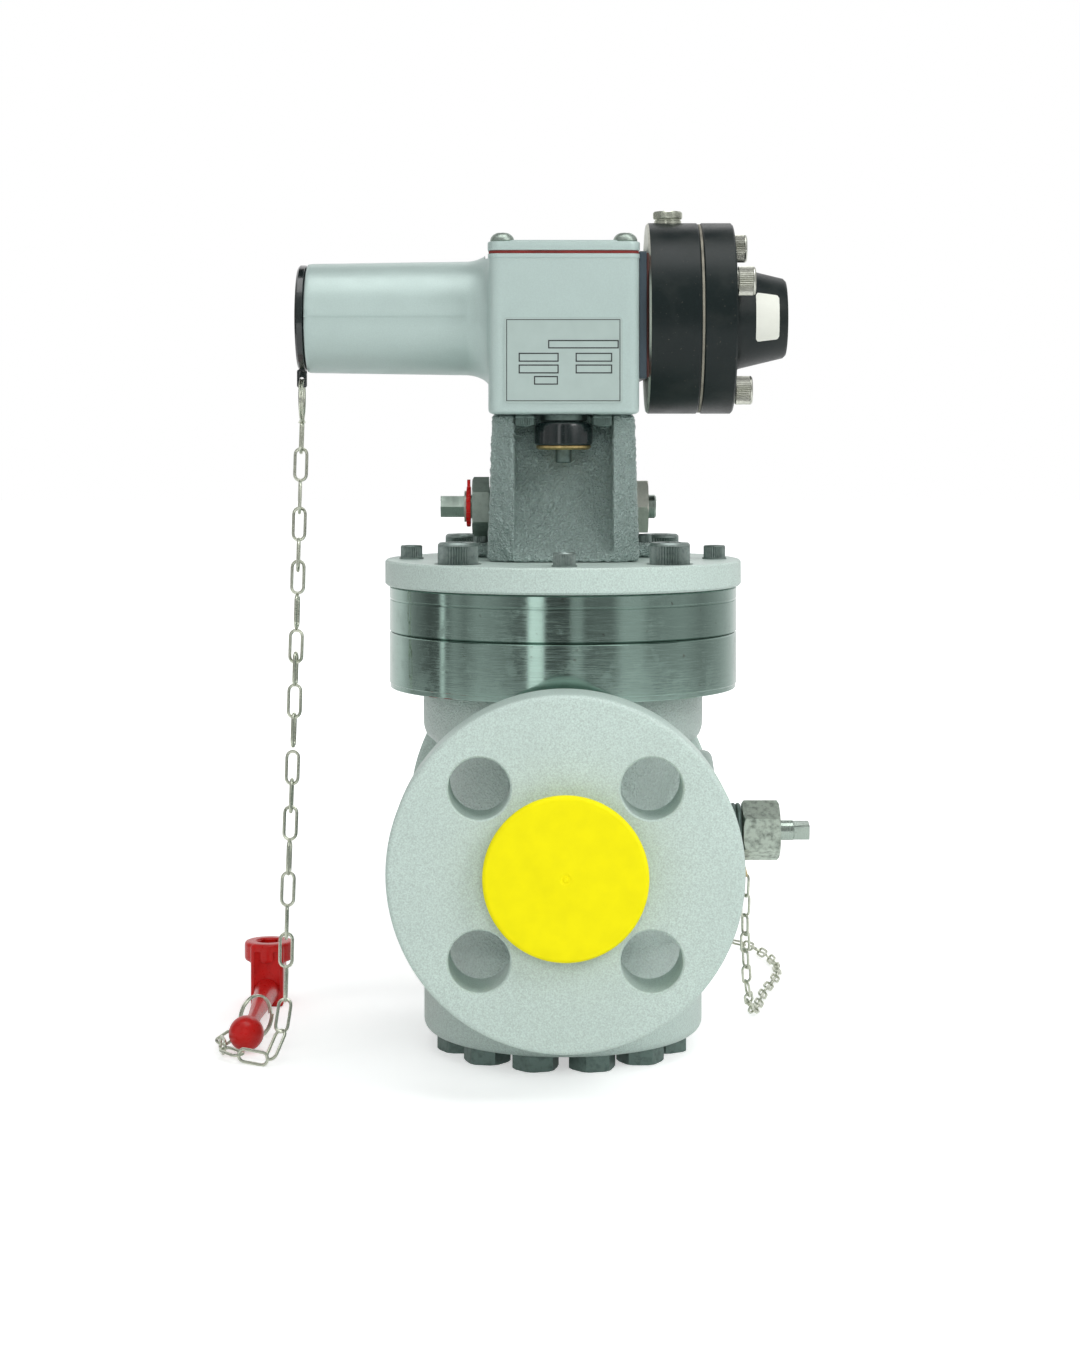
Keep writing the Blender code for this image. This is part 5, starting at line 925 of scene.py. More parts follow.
LIE = 3.9
CAP_CHAIN_ROUTE = [
    (-120.6, 0, 285.7), (-121.2, -1.5, 262), (-123.2, -12, 150), (-125.4, -23, 60),
    (-125.4, -29, 28), (-128, -38, 10), (-133, -44, LIE), (-142, -41, LIE), (-150.5, -32, LIE),
    (-155.2, -19, LIE), (-154.5, -9, LIE), (-150.4, -2.4, 5.4),
]
SMALL_LIE = 3.1
BYPASS_CHAIN_ROUTE = [
    (84.89, 0, 76.34), (84.4, 2, 60), (85, 8, 40), (87, 20, 20), (90, 38, 8), (94, 56, SMALL_LIE),
    (101, 92, SMALL_LIE), (111, 132, SMALL_LIE), (112, 165, SMALL_LIE), (107, 193, SMALL_LIE),
    (99, 212, SMALL_LIE), (88, 220, SMALL_LIE), (76, 221, SMALL_LIE),
]


def make_cap_chain():
    s = sizes()
    route = [Vector(p) for p in CAP_CHAIN_ROUTE]
    links = chain(route, s.link_length, s.link_width, s.link_wire, 0)
    made = finish("cap_chain_links", links, "nickel", ["cap_chain"])
    upper = rotated(split_ring(20.8, 1.1, 1.15), 90, "Y")
    move(upper, -120.6, 0, 296.4)
    upper = finish("split_ring_upper", upper, "nickel", ["chain_ring_top"])
    lower = rotated(split_ring(20.8, 1.1, 1.15), 90, "X")
    rotated(lower, 50)
    move(lower, -142.5, 5, 10.4)
    lower = finish("split_ring_lower", lower, "nickel", ["chain_ring_floor"])
    lever, ball = make_reset_lever()
    points = smooth_route(route, 5)
    route_length(points) * MM


def make_bypass_chain():
    s = sizes()
    route = [Vector(p) for p in BYPASS_CHAIN_ROUTE]
    links = chain(route, s.small_link_length, s.small_link_width, s.small_link_wire, 30)
    made = finish("bypass_chain_links", links, "nickel", ["bypass_chain"])
    loop = split_ring(38, 1.3, 0.0, 1.0)
    rotated(loop, 90 - 17, "Y")
    move(loop, 79.25, 0, 94.8)
    loop = finish("bypass_wire_ring", loop, "brass", ["bypass_ring"])
    points = smooth_route(route, 5)
    route_length(points) * MM


def make_reset_lever():
    """The red lever on the floor, with its socket upward and its ball to the front."""
    x, knee, floor = -144.4, 81, 0.2
    handle = spun(
        [
            (0, -13.2), (2.2, -13.2), (2.2, -9.3), (3.2, -9), (3.25, 20), (6.1, 72), (6.3, 80),
            (0, 80),
        ],
        "Y",
        48,
    )
    move(handle, z=8)
    head = block((-8, knee - 8, floor), (8, knee + 8, 26), 2.2, 5)
    rounds = [*arc(10.6, 22.9, 1.4, -90, 0), *arc(10.6, 29.6, 1.4, 0, 90)]
    collar = spun([(0, 21.5), (10.6, 21.5), *rounds, (0, 31)], "Z", 72)
    move(collar, y=knee)
    web = block((-8, knee - 10.8, floor), (8, knee - 5, 30.6), 1.2, 4)
    lever = joined(handle, head, collar, web)
    lever = cast_surface(lever, 0.55, 4)
    socket = hexagon(10.35, 23, 40)
    move(socket, y=knee)
    flare = spun([(0, 30.3), (5.98, 30.3), (7, 31.4), (0, 31.4)], "Z", 48)
    move(flare, y=knee)
    lever = carved(lever, socket, flare)
    field = block((-6.3, knee - 11.6, 8), (6.3, knee - 10.35, 27.4), 0.3, 2)
    lever = carved(lever, field)
    move(lever, x=x)
    lever = finish("reset_lever_red", lever, "red", ["reset_lever"])
    ball = bmesh.new()
    bmesh.ops.create_uvsphere(ball, u_segments=64, v_segments=32, radius=8)
    rotated(ball, 90, "X")
    move(ball, y=-17.3, z=8.2)
    hole = bar(2.35, -13.8, -4, "Y", 32)
    move(hole, z=8)
    ball = carved(ball, hole)
    move(ball, x=x)
    ball = finish("lever_ball_red", ball, "red", ["lever_ball"])
    return lever, ball


# --- Body, flanges and covers

PIPE_Z = 98
BORE_R = 12.5
LOWER_RING_Z = 165
FLANGE_BOLT_CIRCLE = 50.8
BOTTOM_BOLT_CIRCLE = 48.5
SMALL_SCREW_CIRCLE = 70


def hub_ends():
    """The rounded collars that run the hubs into the bulb and into the flanges."""
    quarter = [math.radians(15 * i) for i in range(7)]
    ends = []
    for k in (1, -1):
        rounded = [(33 - 6 * math.sin(a), (56.5 + 6 * (1 - math.cos(a))) * k) for a in quarter]
        outline = [(0, 40 * k), (33, 40 * k), (33, 56.5 * k), *rounded, (0, 62.5 * k)]
        ends.append(spun(outline, "Y", 96))
    for k in (1, -1):
        flare = [(27 + 5 * (1 - math.sin(a)), (92 - 5 * (1 - math.cos(a))) * k) for a in quarter]
        ends.append(spun([(0, 93 * k), (32, 93 * k), *flare, (0, 87 * k)], "Y", 96))
    return ends


def make_body():
    s = sizes()
    outline = [(0, 32.3), (62.5, 32.3), *arc(62.5, 33.8, 1.5, -90, 0, 3)]
    outline += [*arc(62.5, 50.8, 1.5, 0, 45, 3), (57.6, 57.6), (57, 60), (57, 136)]
    outline += [(57.6, 139), (59.8, 140.8), (62.6, 142.6), (64.2, 146), (64.4, 150)]
    outline += [(64.4, LOWER_RING_Z - 0.1), (0, LOWER_RING_Z - 0.1)]
    shell = spun(outline, "Z")
    hub = spun([(0, -95), (27, -95), (27, 95), (0, 95)], "Y", 96)
    move(hub, z=PIPE_Z)
    roots = hub_ends()
    for root in roots:
        move(root, z=PIPE_Z)
    boss = spun([(0, 20), (37, 20), (37, 66), *arc(34, 66, 3, 0, 90), (0, 69)], "X", 96)
    move(boss, z=PIPE_Z)
    casting = joined(shell, hub, boss, *roots)
    casting = cast_surface(casting, s.casting_voxel, 5)
    bore = bar(BORE_R, -110, 110, "Y", 72)
    move(bore, z=PIPE_Z)
    seat = bar(17, 90, 150, "Z", 72)
    casting = carved(casting, bore, seat)
    # the cast body takes its paint darkened with painted shade
    finish("body_casting", casting, "cast_body", ["valve_body"])
    ring_shape = spun(
        [
            (22, LOWER_RING_Z), (79.3, LOWER_RING_Z), (79.6, LOWER_RING_Z + 0.3),
            (79.6, LOWER_RING_Z + 2.1), (80, LOWER_RING_Z + 2.5), (80, 189.9), (79.4, 190.5),
            (22, 190.5),
        ],
        "Z",
        hollow=True,
    )
    finish("lower_ring", ring_shape, "ring", ["valve_body"])
    for name, turned_to in (("inlet", 0), ("outlet", 180)):
        disc = spun(
            [
                (0, 92), *arc(72.8, 94.2, 2.2, -90, 0, 4), *arc(72.8, 118.4, 2.2, 0, 90, 4),
                (25.9, 120.6), (25.4, 121), (25.4, 126.6), (25, 127), (0, 127),
            ],
            "Y",
        )
        hole_side = [(0, 80), (13, 80), (13, 119.8), (14.2, 121.2), (14.2, 130), (0, 130)]
        cutters = [
            move(rotated(spun(hole_side, "Y", 62), 3, "Y"), x, 0, z)
            for x, z in circle_places(4, FLANGE_BOLT_CIRCLE, 45)
        ]
        flange = carved(disc, merged(bar(BORE_R, 80, 140, "Y", 70), *cutters))
        move(flange, z=PIPE_Z)
        rotated(flange, 180 - turned_to, "Z")
        finish(f"{name}_flange_fine", flange, "body", [f"{name}_flange"], 28)


def make_bottom_cover():
    outline = [(0, 7.6), *arc(59, 12.6, 5, -90, 0), (64, 31.2), (63.2, 32), (0, 32)]
    plate = spun(outline, "Z")
    finish("bottom_plate", plate, "body", ["bottom_cover"])
    rng = random.Random(3)
    bolts = []
    for x, y in circle_places(12, BOTTOM_BOLT_CIRCLE, 15):
        head = rotated(hexagon(18.5, 0, 7.5, chamfer=0.9), 180, "X")
        move(head, z=7.5)
        rotated(head, rng.uniform(0, 60))
        bolts.append(move(head, x, y, 0.02))
    washers = [
        move(bar(9.3, 6.6, 8.2, "Z", 48), x, y)
        for x, y in circle_places(12, BOTTOM_BOLT_CIRCLE, 15)
    ]
    # the bottom bolts take the dark zinc with painted shade
    finish("bottom_bolts", merged(*bolts, *washers), "bolt", ["bottom_cover"])


def make_upper_ring():
    outline = [(24, 190.8), (79.4, 190.8), (80, 191.4), (80, 205.2), (79.3, 205.4)]
    outline += [(79.3, 206.1), (80, 206.3), (80, 210.9), (79.4, 211.5), (24, 211.5)]
    shape = spun(outline, "Z", hollow=True)
    finish("upper_ring_steel", shape, "ring", ["upper_ring"])


def make_top_cover():
    outline = [(7, 211.8), (81, 211.8), (82, 212.8), (82, 222.7), (81.2, 223.5), (7, 223.5)]
    plate = spun(outline, "Z", hollow=True)
    spots = [move(bar(10.6, 220.8, 226, "Z", 48), x, y) for x in (-47, 47) for y in (-47, 47)]
    plate = carved(plate, *spots)
    finish("cover_plate", plate, "body", ["top_cover"])


def make_cover_screws():
    nodes = {1: (-47, -47), 2: (47, -47), 3: (47, 47), 4: (-47, 47)}
    for number, (x, y) in nodes.items():
        head = rotated(cap_screw(18, 12, 44), 17 * number)
        washer = bar(10.2, -0.55, 0.0, "Z", 48)
        move(head, x, y, 221.1)
        move(washer, x, y, 221.4)
        screw = merged(head, washer)
        finish(f"m12_screw_{number}", screw, "screw", [f"cover_screw_{number}"])
    small = [
        move(rotated(cap_screw(10, 6, 30), 23 * i), x, y, 223.75)
        for i, (x, y) in enumerate(circle_places(4, SMALL_SCREW_CIRCLE))
    ]
    washers = [
        move(bar(5.6, -0.5, 0.5, "Z", 40), x, y, 223.7)
        for x, y in circle_places(4, SMALL_SCREW_CIRCLE)
    ]
    finish("m6_screws", merged(*small, *washers), "screw")


TOWER_Z = 223.8
TOWER_HEIGHT = 65.9
SHAFT_Y, SHAFT_Z = 15, 247.2


def make_tower():
    s = sizes()
    z0, h = TOWER_Z, TOWER_HEIGHT
    shape = block((-34.1, -36, z0), (34.1, 36, z0 + h))
    for v in shape.verts:
        if v.co.z > z0 + h / 2:
            v.co.x *= 32 / 34.1
    soften(shape, 3, 4, upright)
    feet = block((-43, 8, z0), (43, 34, z0 + 6.2), 2.5, 3)
    shape = joined(shape, feet)
    profile = []
    flare = (50**2 + 19**2) / (2 * 19)
    for i in range(13):
        drop = 50 * (1 - i / 12)
        profile.append((-17 - flare + math.sqrt(flare**2 - drop**2), z0 + 52 - drop))
    profile += [(-17, z0 + h + 5), (-50, z0 + h + 5), (-50, z0 + 2)]
    recess = bmesh.new()
    corners = [recess.verts.new((-22, y, z)) for y, z in profile]
    recess.faces.new(corners)
    pushed = bmesh.ops.extrude_face_region(recess, geom=recess.faces[:])
    lifted = [v for v in pushed["geom"] if isinstance(v, bmesh.types.BMVert)]
    bmesh.ops.translate(recess, vec=(44, 0, 0), verts=lifted)
    bmesh.ops.recalc_face_normals(recess, faces=recess.faces)
    cavity = block((-16, -9.3, z0 + 3), (26, 41, z0 + h - 8), 2, 2)
    bevels = [block((-30, -20, -10), (30, 0, 90)) for _ in range(2)]
    for side, bevel in zip((-1, 1), bevels):
        rotated(bevel, side * 36)
        move(bevel, side * 47.2, -18.4, z0)
    shape = carved(shape, recess, cavity, *bevels)
    shape = cast_surface(shape, s.tower_voxel, 3)
    for v in shape.verts:
        lump = noise.fractal(v.co / 2.2, 0.8, 2.0, 3)
        v.co += v.normal * (0.7 * lump)
    flat = block((-60, -60, z0 - 5), (60, 60, z0))
    stem_hole = bar(6.3, z0 - 5, z0 + h + 5, "Z", 40)
    sleeve = bar(9.35, -50, 50, "X", 48)
    move(sleeve, y=SHAFT_Y, z=SHAFT_Z)
    seats = [bar(15.6, 33.9, 36, "X", 48), bar(15.6, -36, -33.9, "X", 48)]
    for seat in seats:
        move(seat, y=SHAFT_Y, z=SHAFT_Z)
    shape = carved(shape, flat, stem_hole, sleeve, *seats)
    # the tower takes its paint darkened with painted shade
    finish("tower_casting", shape, "casting", ["tower"], 40)
    screws = [move(cap_screw(7, 4, 24), x, 21, z0 + 6.3) for x in (-38.4, 38.4)]
    finish("tower_foot_screws", merged(*screws), "screw")


def make_shaft():
    end = bar(5.5, -45.2, 43.6, "X", 64, 0.7)
    flats = hexagon(9.75, -57, -44.6, "X", 30, 0.7)
    square = joined(end, flats)
    square = move(square, y=SHAFT_Y, z=SHAFT_Z)
    finish("shaft_bar", square, "rod", ["reset_shaft"], body="shaft")
    disc = ring(9.5, 5.8, -44.9, -42.9, "X", 72, 0.3)
    lug = block((-44.6, -4, 7.6), (-43.2, 4, 12.6), 1.2, 3, along_x)
    disc = joined(disc, lug)
    rng = random.Random(5)
    notches = [
        rotated(block((-46, -0.7, 8.9), (-41, 0.7, 10)), a + rng.uniform(-4, 4), "X")
        for a in range(60, 301, 20)
    ]
    disc = carved(disc, *notches)
    move(disc, y=SHAFT_Y, z=SHAFT_Z)
    finish("indicator_red", disc, "red", ["position_indicator"], body="shaft")
    clip = ring(7.4, 5.2, -45.9, -45.1, "X", 48)
    gap = block((-47, -1.8, -9), (-44, 1.8, -3))
    clip = carved(clip, gap)
    move(clip, y=SHAFT_Y, z=SHAFT_Z)
    finish("shaft_clip", clip, "alloy", body="shaft")
    for side, sign, thick, phase, look in (
        ("left", -1, 7.8, 0, "zinc"), ("right", 1, 5.4, 30, "alloy"),
    ):
        nut = hexagon(24, 34.4, 34.4 + thick, "Z", phase, 1.2)
        collar = bar(9, 21.4, 34.6, "Z", 48)
        nut = joined(nut, collar)
        nut = carved(nut, bar(5.75, 10, 50, "Z", 48), bar(7.6, 34.4 + thick - 0.8, 60, "Z", 48))
        rotated(nut, sign * 90, "Y")
        move(nut, y=SHAFT_Y, z=SHAFT_Z)
        finish(f"nut_{side}", nut, look, [f"shaft_nut_{side}"])


# --- Trip box, tube and cover

SENSING_Z = 334.5


def make_trip_box():
    box = block((-33.7, -46, 290), (33.7, 46, 361.4), 5, 5, upright)
    soften(box, 1.2, 2, lambda e: not upright(e) and e.verts[0].co.z < 300)
    tube = spun(
        [
            (0, -118), (24.6, -118), (25.2, -117.4), (26.3, -43), (26.9, -40), (28.4, -36.5),
            (31, -33.7), (31, -30), (0, -30),
        ],
        "X",
        128,
    )
    move(tube, z=SENSING_Z)
    shape = joined(box, tube)
    shape = cast_surface(shape, 1.05, 3)
    trims = [
        block((-36, -50, 361.4), (40, 50, 370)),
        block((-130, -50, 300), (-118, 50, 370)),
        block((-29.7, -42, 294), (29.7, 42, 370)),
    ]
    bore = bar(21.5, -125, -44.7, "X", 96)
    move(bore, z=SENSING_Z)
    stem_bore = bar(8.4, -60, 50, "X", 40)
    move(stem_bore, z=SENSING_Z)
    plug_bore = bar(6.4, 285, 300, "Z", 40)
    pin_bore = bar(4.4, 285, 300, "Z", 40)
    move(pin_bore, y=BUTTON_Y)
    shape = carved(shape, *trims, bore, stem_bore, plug_bore, pin_bore)
    finish("trip_box_casting", shape, "box", ["trip_box"], 40)
    lip = ring_outline((-33.9, -46.2), (33.9, 46.2), 5.2, 1.7, 359.6, 361.5)
    finish("trip_box_lip", lip, "box", ["trip_box"], 40)


def make_parting_line():
    """The die's parting line along the tube's front."""
    line = block((-117.6, -25.4, SENSING_Z - 0.2), (-45, -24, SENSING_Z + 0.2))
    for v in line.verts:
        if v.co.x > -50:
            v.co.y -= 1.05
    finish("tube_parting_line", line, "box")


def rounded_plate(low, high, radius, z_low, z_high, edge=0.4):
    """A flat plate with round corners and a small chamfer."""
    plate = block((*low, z_low), (*high, z_high), radius, 6, upright)
    soften(plate, edge, 2, lambda e: not upright(e))
    return plate


def ring_outline(low, high, radius, wall, z_low, z_high):
    """A rounded frame of that wall."""
    outside = block((*low, z_low), (*high, z_high), radius, 6, upright)
    inner_low = (low[0] + wall, low[1] + wall, z_low - 1)
    inner_high = (high[0] - wall, high[1] - wall, z_high + 1)
    inside = block(inner_low, inner_high, max(0.2, radius - wall), 6, upright)
    return carved(outside, inside)


def make_box_cover():
    gasket = ring_outline((-33.5, -45.8), (33.5, 45.8), 4.8, 4, 361.6, 362.8)
    finish("cover_gasket_red", gasket, "gasket", ["box_gasket"])
    cover = rounded_plate((-34, -46.3), (34, 46.3), 5.3, 362.9, 367, 0.7)
    dome = [(0, 0), (5.3, 0), (5.1, 0.6), (4.2, 1.05), (2.4, 1.25), (0, 1.3)]
    domes = [
        move(spun(dome, "Z", 40), x, y, 366.8)
        for x in (-16, 16)
        for y in (-34, 34)
    ]
    strip = block((-30, -43.4, 366.5), (30, -37, 367.7), 0.5, 2)
    cover = joined(cover, strip, *domes)
    finish("cover_lid", cover, "box", ["box_cover"])
    screws = [
        move(rotated(pan_screw(10.8, 4.2), 31 * x * y), x, y, 367.2)
        for x in (-27.5, 27.5)
        for y in (-39.5, 39.5)
    ]
    finish("lid_screws", merged(*screws), "zinc")


def make_tube_cap():
    disc = spun(
        [
            (0, -122.3), (20, -122.3), (20.6, -121.9), (23.6, -121.9), (24.6, -121),
            (24.6, -118.6), (24.3, -118.3), (0, -118.3),
        ],
        "X",
        128,
    )
    eye = block((-122.9, -2, -32), (-118.3, 2, -23.5), 1, 3)
    hole = bar(1.25, -6, 6, "Y", 32)
    move(hole, x=-120.6, z=-28.4)
    shape = carved(joined(disc, eye), hole)
    move(shape, z=SENSING_Z)
    finish("tube_cap_black", shape, "gloss", ["tube_cap"])


def make_rating_plate():
    front = -46.0
    depth = sizes().plate_thickness
    plate = block((-26.6, front - depth, 294.8), (26.1, front + 0.4, 333.2), 1.4, 4, along_y)
    finish("rating_plate", plate, "alloy_plate")
    lines = [flat_frame((-25.6, 295.8), (25.1, 332.2), 0.36, front - depth)]
    for low, high in (
        ((-7.0, 319.2), (24.4, 323.0)), ((-20.1, 313.3), (-2.3, 317.3)),
        ((5.2, 313.3), (21.5, 317.3)), ((-20.1, 308.1), (-2.3, 312.1)),
        ((5.2, 308.1), (21.5, 312.1)), ((-13.3, 303.1), (-2.6, 307.0)),
    ):
        lines.append(flat_frame(low, high, 0.55, front - depth))
    finish("plate_fields", merged(*lines), "ink")


def along_y(edge):
    a, b = (v.co for v in edge.verts)
    return abs(a.y - b.y) > 0.9 * (a - b).length


def flat_frame(low, high, width, front):
    """A printed frame: four thin strips, standing a hair proud of the plate."""
    outside = block((low[0], front - 0.05, low[1]), (high[0], front + 0.1, high[1]))
    inside = block(
        (low[0] + width, front - 1, low[1] + width), (high[0] - width, front + 1, high[1] - width)
    )
    return carved(outside, inside)


# --- Head

HEAD_SCREW_CIRCLE = 36.8
CONE_FOOT_R, CONE_FOOT_X = 23.3, 81.2
CONE_TIP_R, CONE_TIP_X = 18.4, 101.4


def make_head():
    gasket = block((37.1, -38.2, 306.6), (38.1, 38.2, 362.4), 0.3, 2)
    gasket = carved(gasket, move(bar(8, 30, 40, "X", 40), z=SENSING_Z))
    # this gasket is drawn darker than the red one, as painted shade in its gap
    finish("mount_gasket_red", gasket, "dark_gasket", ["head_gasket"])
    plate = block((33.9, -40, 306), (37, 40, 363), 1, 3, along_x)
    plate = carved(plate, move(bar(8, 30, 40, "X", 40), z=SENSING_Z))
    # the mount plate takes the dark colour of painted shade
    finish("mount_plate", plate, "primer", ["head_mount_plate"])
    inner = spun([(8, 39.2), (44, 39.2), (44, 61.2), (43.5, 61.8), (8, 61.8)], "X", hollow=True)
    chamber = bar(18.4, 58, 64, "X", 64)
    port_bore = bar(7, 34, 50, "Z", 48)
    move(port_bore, x=48.4)
    inner = carved(inner, chamber, port_bore)
    move(inner, z=SENSING_Z)
    finish("head_inner", inner, "black", ["head_plate_inner"])
    bevel = spun([(12, 38.25), (43.1, 38.25), (44, 39.15), (12, 39.15)], "X", hollow=True)
    move(bevel, z=SENSING_Z)
    finish("head_bare_bevel", bevel, "alloy", ["head_plate_inner"])
    rim = ring(43.5, 30, 61.95, 63.05, "X", 0, 0.1)
    move(rim, z=SENSING_Z)
    finish("diaphragm_rim", rim, "cloth")
    outline = [(0, 69), (18.2, 69), (18.4, 63.2), (43.5, 63.2), (44, 63.7), (44, 77)]
    outer = spun([*outline, (43.2, 77.8), (0, 77.8)], "X")
    move(outer, z=SENSING_Z)
    finish("head_outer", outer, "black", ["head_plate_outer"])
    cone = spun(
        [
            (0, 77.9), (23.7, 77.9), (23.7, 80.4), (CONE_FOOT_R, CONE_FOOT_X),
            (CONE_TIP_R, CONE_TIP_X), (17.2, 102.6), (12.5, 102.6), (12, 102.1), (0, 102.1),
        ],
        "X",
    )
    move(cone, z=SENSING_Z)
    finish("head_cone_black", cone, "black", ["head_cone"])
    for number in range(1, 5):
        angle = math.radians(24.9 - 90 * (number - 1))
        y = HEAD_SCREW_CIRCLE * math.sin(angle)
        z = SENSING_Z + HEAD_SCREW_CIRCLE * math.cos(angle)
        screw = rotated(cap_screw(13, 8, 40), 19 * number)
        turn(screw, AXIS_TURNS["X"])
        move(screw, 78.1, y, z)
        finish(f"m8_screw_{number}", screw, "bright_screw", [f"head_screw_{number}"])
    port = spun(
        [
            (2.5, 377.5), (6.3, 377.5), (6.3, 379.4), (5.9, 379.7), (5.9, 380.2), (6.6, 380.5),
            (6.75, 381), (6.75, 383.2), (6.2, 383.8), (4.4, 383.8), (3.6, 383), (2.5, 382.8),
        ],
        "Z",
        64,
        hollow=True,
    )
    shank = ring(6.2, 2.5, 367.5, 377.8, "Z", 48)
    port = joined(port, shank)
    flats = [rotated(block((5.95, -10, 380.4), (9, 10, 384.5)), a) for a in (35, 215)]
    port = carved(port, *flats)
    move(port, x=48.4)
    finish("port_nipple", port, "nickel", ["pressure_port"])


STICKER_TURN = 239.5


def make_sticker():
    """The bare sticker wrapped on the cone's front, with round corners."""
    low, high, wide, corner = 87.6, 98.4, 62, 1.4
    slope = (CONE_FOOT_R - CONE_TIP_R) / (CONE_TIP_X - CONE_FOOT_X)
    bm = bmesh.new()
    across, around = 14, 36
    skins = []
    for lift in (0.16, -0.2):
        grid = []
        for i in range(across + 1):
            x = low + (high - low) * i / across
            radius = CONE_FOOT_R - (x - CONE_FOOT_X) * slope + lift
            inset = max(0, corner - min(x - low, high - x))
            trim = math.degrees((corner - math.sqrt(max(0, corner**2 - inset**2))) / radius)
            row = []
            for k in range(around + 1):
                a = math.radians(trim + (wide - 2 * trim) * k / around)
                row.append(bm.verts.new((x, radius * math.cos(a), radius * math.sin(a))))
            grid.append(row)
        skins.append(grid)
    for grid in skins:
        for a, b in zip(grid, grid[1:]):
            for k in range(around):
                bm.faces.new((a[k], a[k + 1], b[k + 1], b[k]))
    outside = [e for e in bm.edges if e.is_boundary]
    bmesh.ops.bridge_loops(bm, edges=outside)
    tidy(bm)
    rotated(bm, STICKER_TURN - 90, "X")
    move(bm, z=SENSING_Z)
    finish("cone_sticker", bm, "paper")


BUTTON_Y = -32


def make_button():
    outline = [(4.2, 287), (10.1, 287), (10.5, 287.4), (10.5, 289.8), (4.2, 289.8)]
    neck = spun(outline, "Z", 64, hollow=True)
    move(neck, y=BUTTON_Y)
    # dark zinc with painted shade under the box
    finish("button_neck_black", neck, "bolt", ["button_neck"])
    guard = spun(
        [
            (4.1, 276.3), (12.6, 276.3), (13.1, 276.9), (13.15, 284.6), (12.4, 286), (11, 286.7),
            (4.1, 286.7),
        ],
        "Z",
        96,
        hollow=True,
    )
    move(guard, y=BUTTON_Y)
    finish("button_guard_gloss", guard, "gloss", ["button_guard"])
    outline = [(4.3, 274.2), (11.2, 274.2), (12.3, 275), (12.3, 275.9), (12, 276.2), (4.3, 276.2)]
    brass = spun(outline, "Z", 96, hollow=True)
    move(brass, y=BUTTON_Y)
    finish("button_ring_brass", brass, "brass", ["button_ring"])
    pin = bar(3.65, 268.2, 298.2, "Z", 48, 0.5)
    collar = bar(6, 289.95, 292.6, "Z", 48)
    slot = block((-10, -0.7, 267), (10, 0.7, 269.4))
    pin = carved(joined(pin, collar), slot)
    move(pin, y=BUTTON_Y)
    # dark zinc with painted shade under the box
    finish("trip_pin_black", pin, "bolt", ["trip_pin"], body="trip_pin")
    screws = []
    for x in (-17.3, 17.3):
        head = rotated(cap_screw(8.5, 5, 28), 180, "X")
        screws.append(move(head, x, -38, 289.6))
    # dark zinc with painted shade under the box
    finish("button_screws", merged(*screws), "bolt")
    tabs = [block((x - 4.2, -42, 288.2), (x + 4.2, -33.8, 289.5), 0.3, 2) for x in (-17.3, 17.3)]
    # dark zinc with painted shade under the box
    finish("button_washers", merged(*tabs), "bolt")


# --- Bypass valve and transport caps


COIL_STARTS = (75.5, 77.7, 79.9)


def make_bypass():
    bonnet = spun(
        [
            (4.85, 51.3), (9.8, 51.3), (9.8, 69), (12.4, 69.2), (13, 69.8), (13, 74.2),
            (12.4, 74.8), (10.2, 75.2), (10.2, 81.8), (9.8, 82.4), (4.85, 82.4),
        ],
        "X",
        72,
        hollow=True,
    )
    move(bonnet, z=PIPE_Z)
    finish("bypass_bonnet_zinc", bonnet, "zinc", ["bypass_bonnet"])
    coil = [(10.3, 0), (12, 0), (12.6, 0.6), (12.6, 1.3), (12, 1.9), (10.3, 1.9)]
    coils = [
        spun([(radius, x + start) for radius, x in coil], "X", 72, hollow=True)
        for start in COIL_STARTS
    ]
    collar = move(merged(*coils), z=PIPE_Z)
    # dark zinc with painted shade beside the flange
    finish("bypass_collar", collar, "bolt")
    nut = hexagon(24, 82.7, 99.7, "Z", 0, 1.4, True)
    nut = carved(nut, bar(4.85, 70, 110, "Z", 48), bar(6.2, 98.8, 110, "Z", 48))
    turn(nut, AXIS_TURNS["X"])
    move(nut, z=PIPE_Z)
    finish("bypass_nut_stained", nut, "stained", ["bypass_nut"])
    stem = bar(4.65, 58.2, 106.7, "X", 56, 0.6)
    square = block((105, -3.5, -3.5), (113.8, 3.5, 3.5), 0.5, 2)
    rotated(square, 13, "X")
    turned_end = spun([(0, 100), (6, 100), (6, 112.4), (4.2, 113.9), (0, 113.9)], "X", 40)
    square = carved(square, turned_end, operation="INTERSECT")
    stem = joined(stem, square)
    move(stem, z=PIPE_Z)
    finish("bypass_stem_steel", stem, "rod", ["bypass_stem"], body="bypass_stem")


def make_caps():
    for name, turned_to in (("inlet", 180), ("outlet", 0)):
        outline = [
            (0, 129.6), (10.3, 129.6), (10.3, 113.3), (11.6, 113.3), (12.1, 114), (12.1, 127.3),
            (33.6, 127.3), *arc(33.6, 128.5, 0.9, -90, 0, 3), *arc(32.6, 129.6, 1.9, 0, 90, 6),
            (27, 131.4), (20, 131.15), (12.5, 130.95), (11.8, 131.05), (6, 131.2), (2.4, 131.25),
            (1.9, 130.9), (1.2, 130.9), (0.8, 131.4), (0, 131.45),
        ]
        cap = spun(outline, "Y")
        move(cap, z=PIPE_Z)
        rotated(cap, turned_to)
        node = f"{name}_cap"
        finish(f"{node}_yellow", cap, "yellow", [node], body=node)


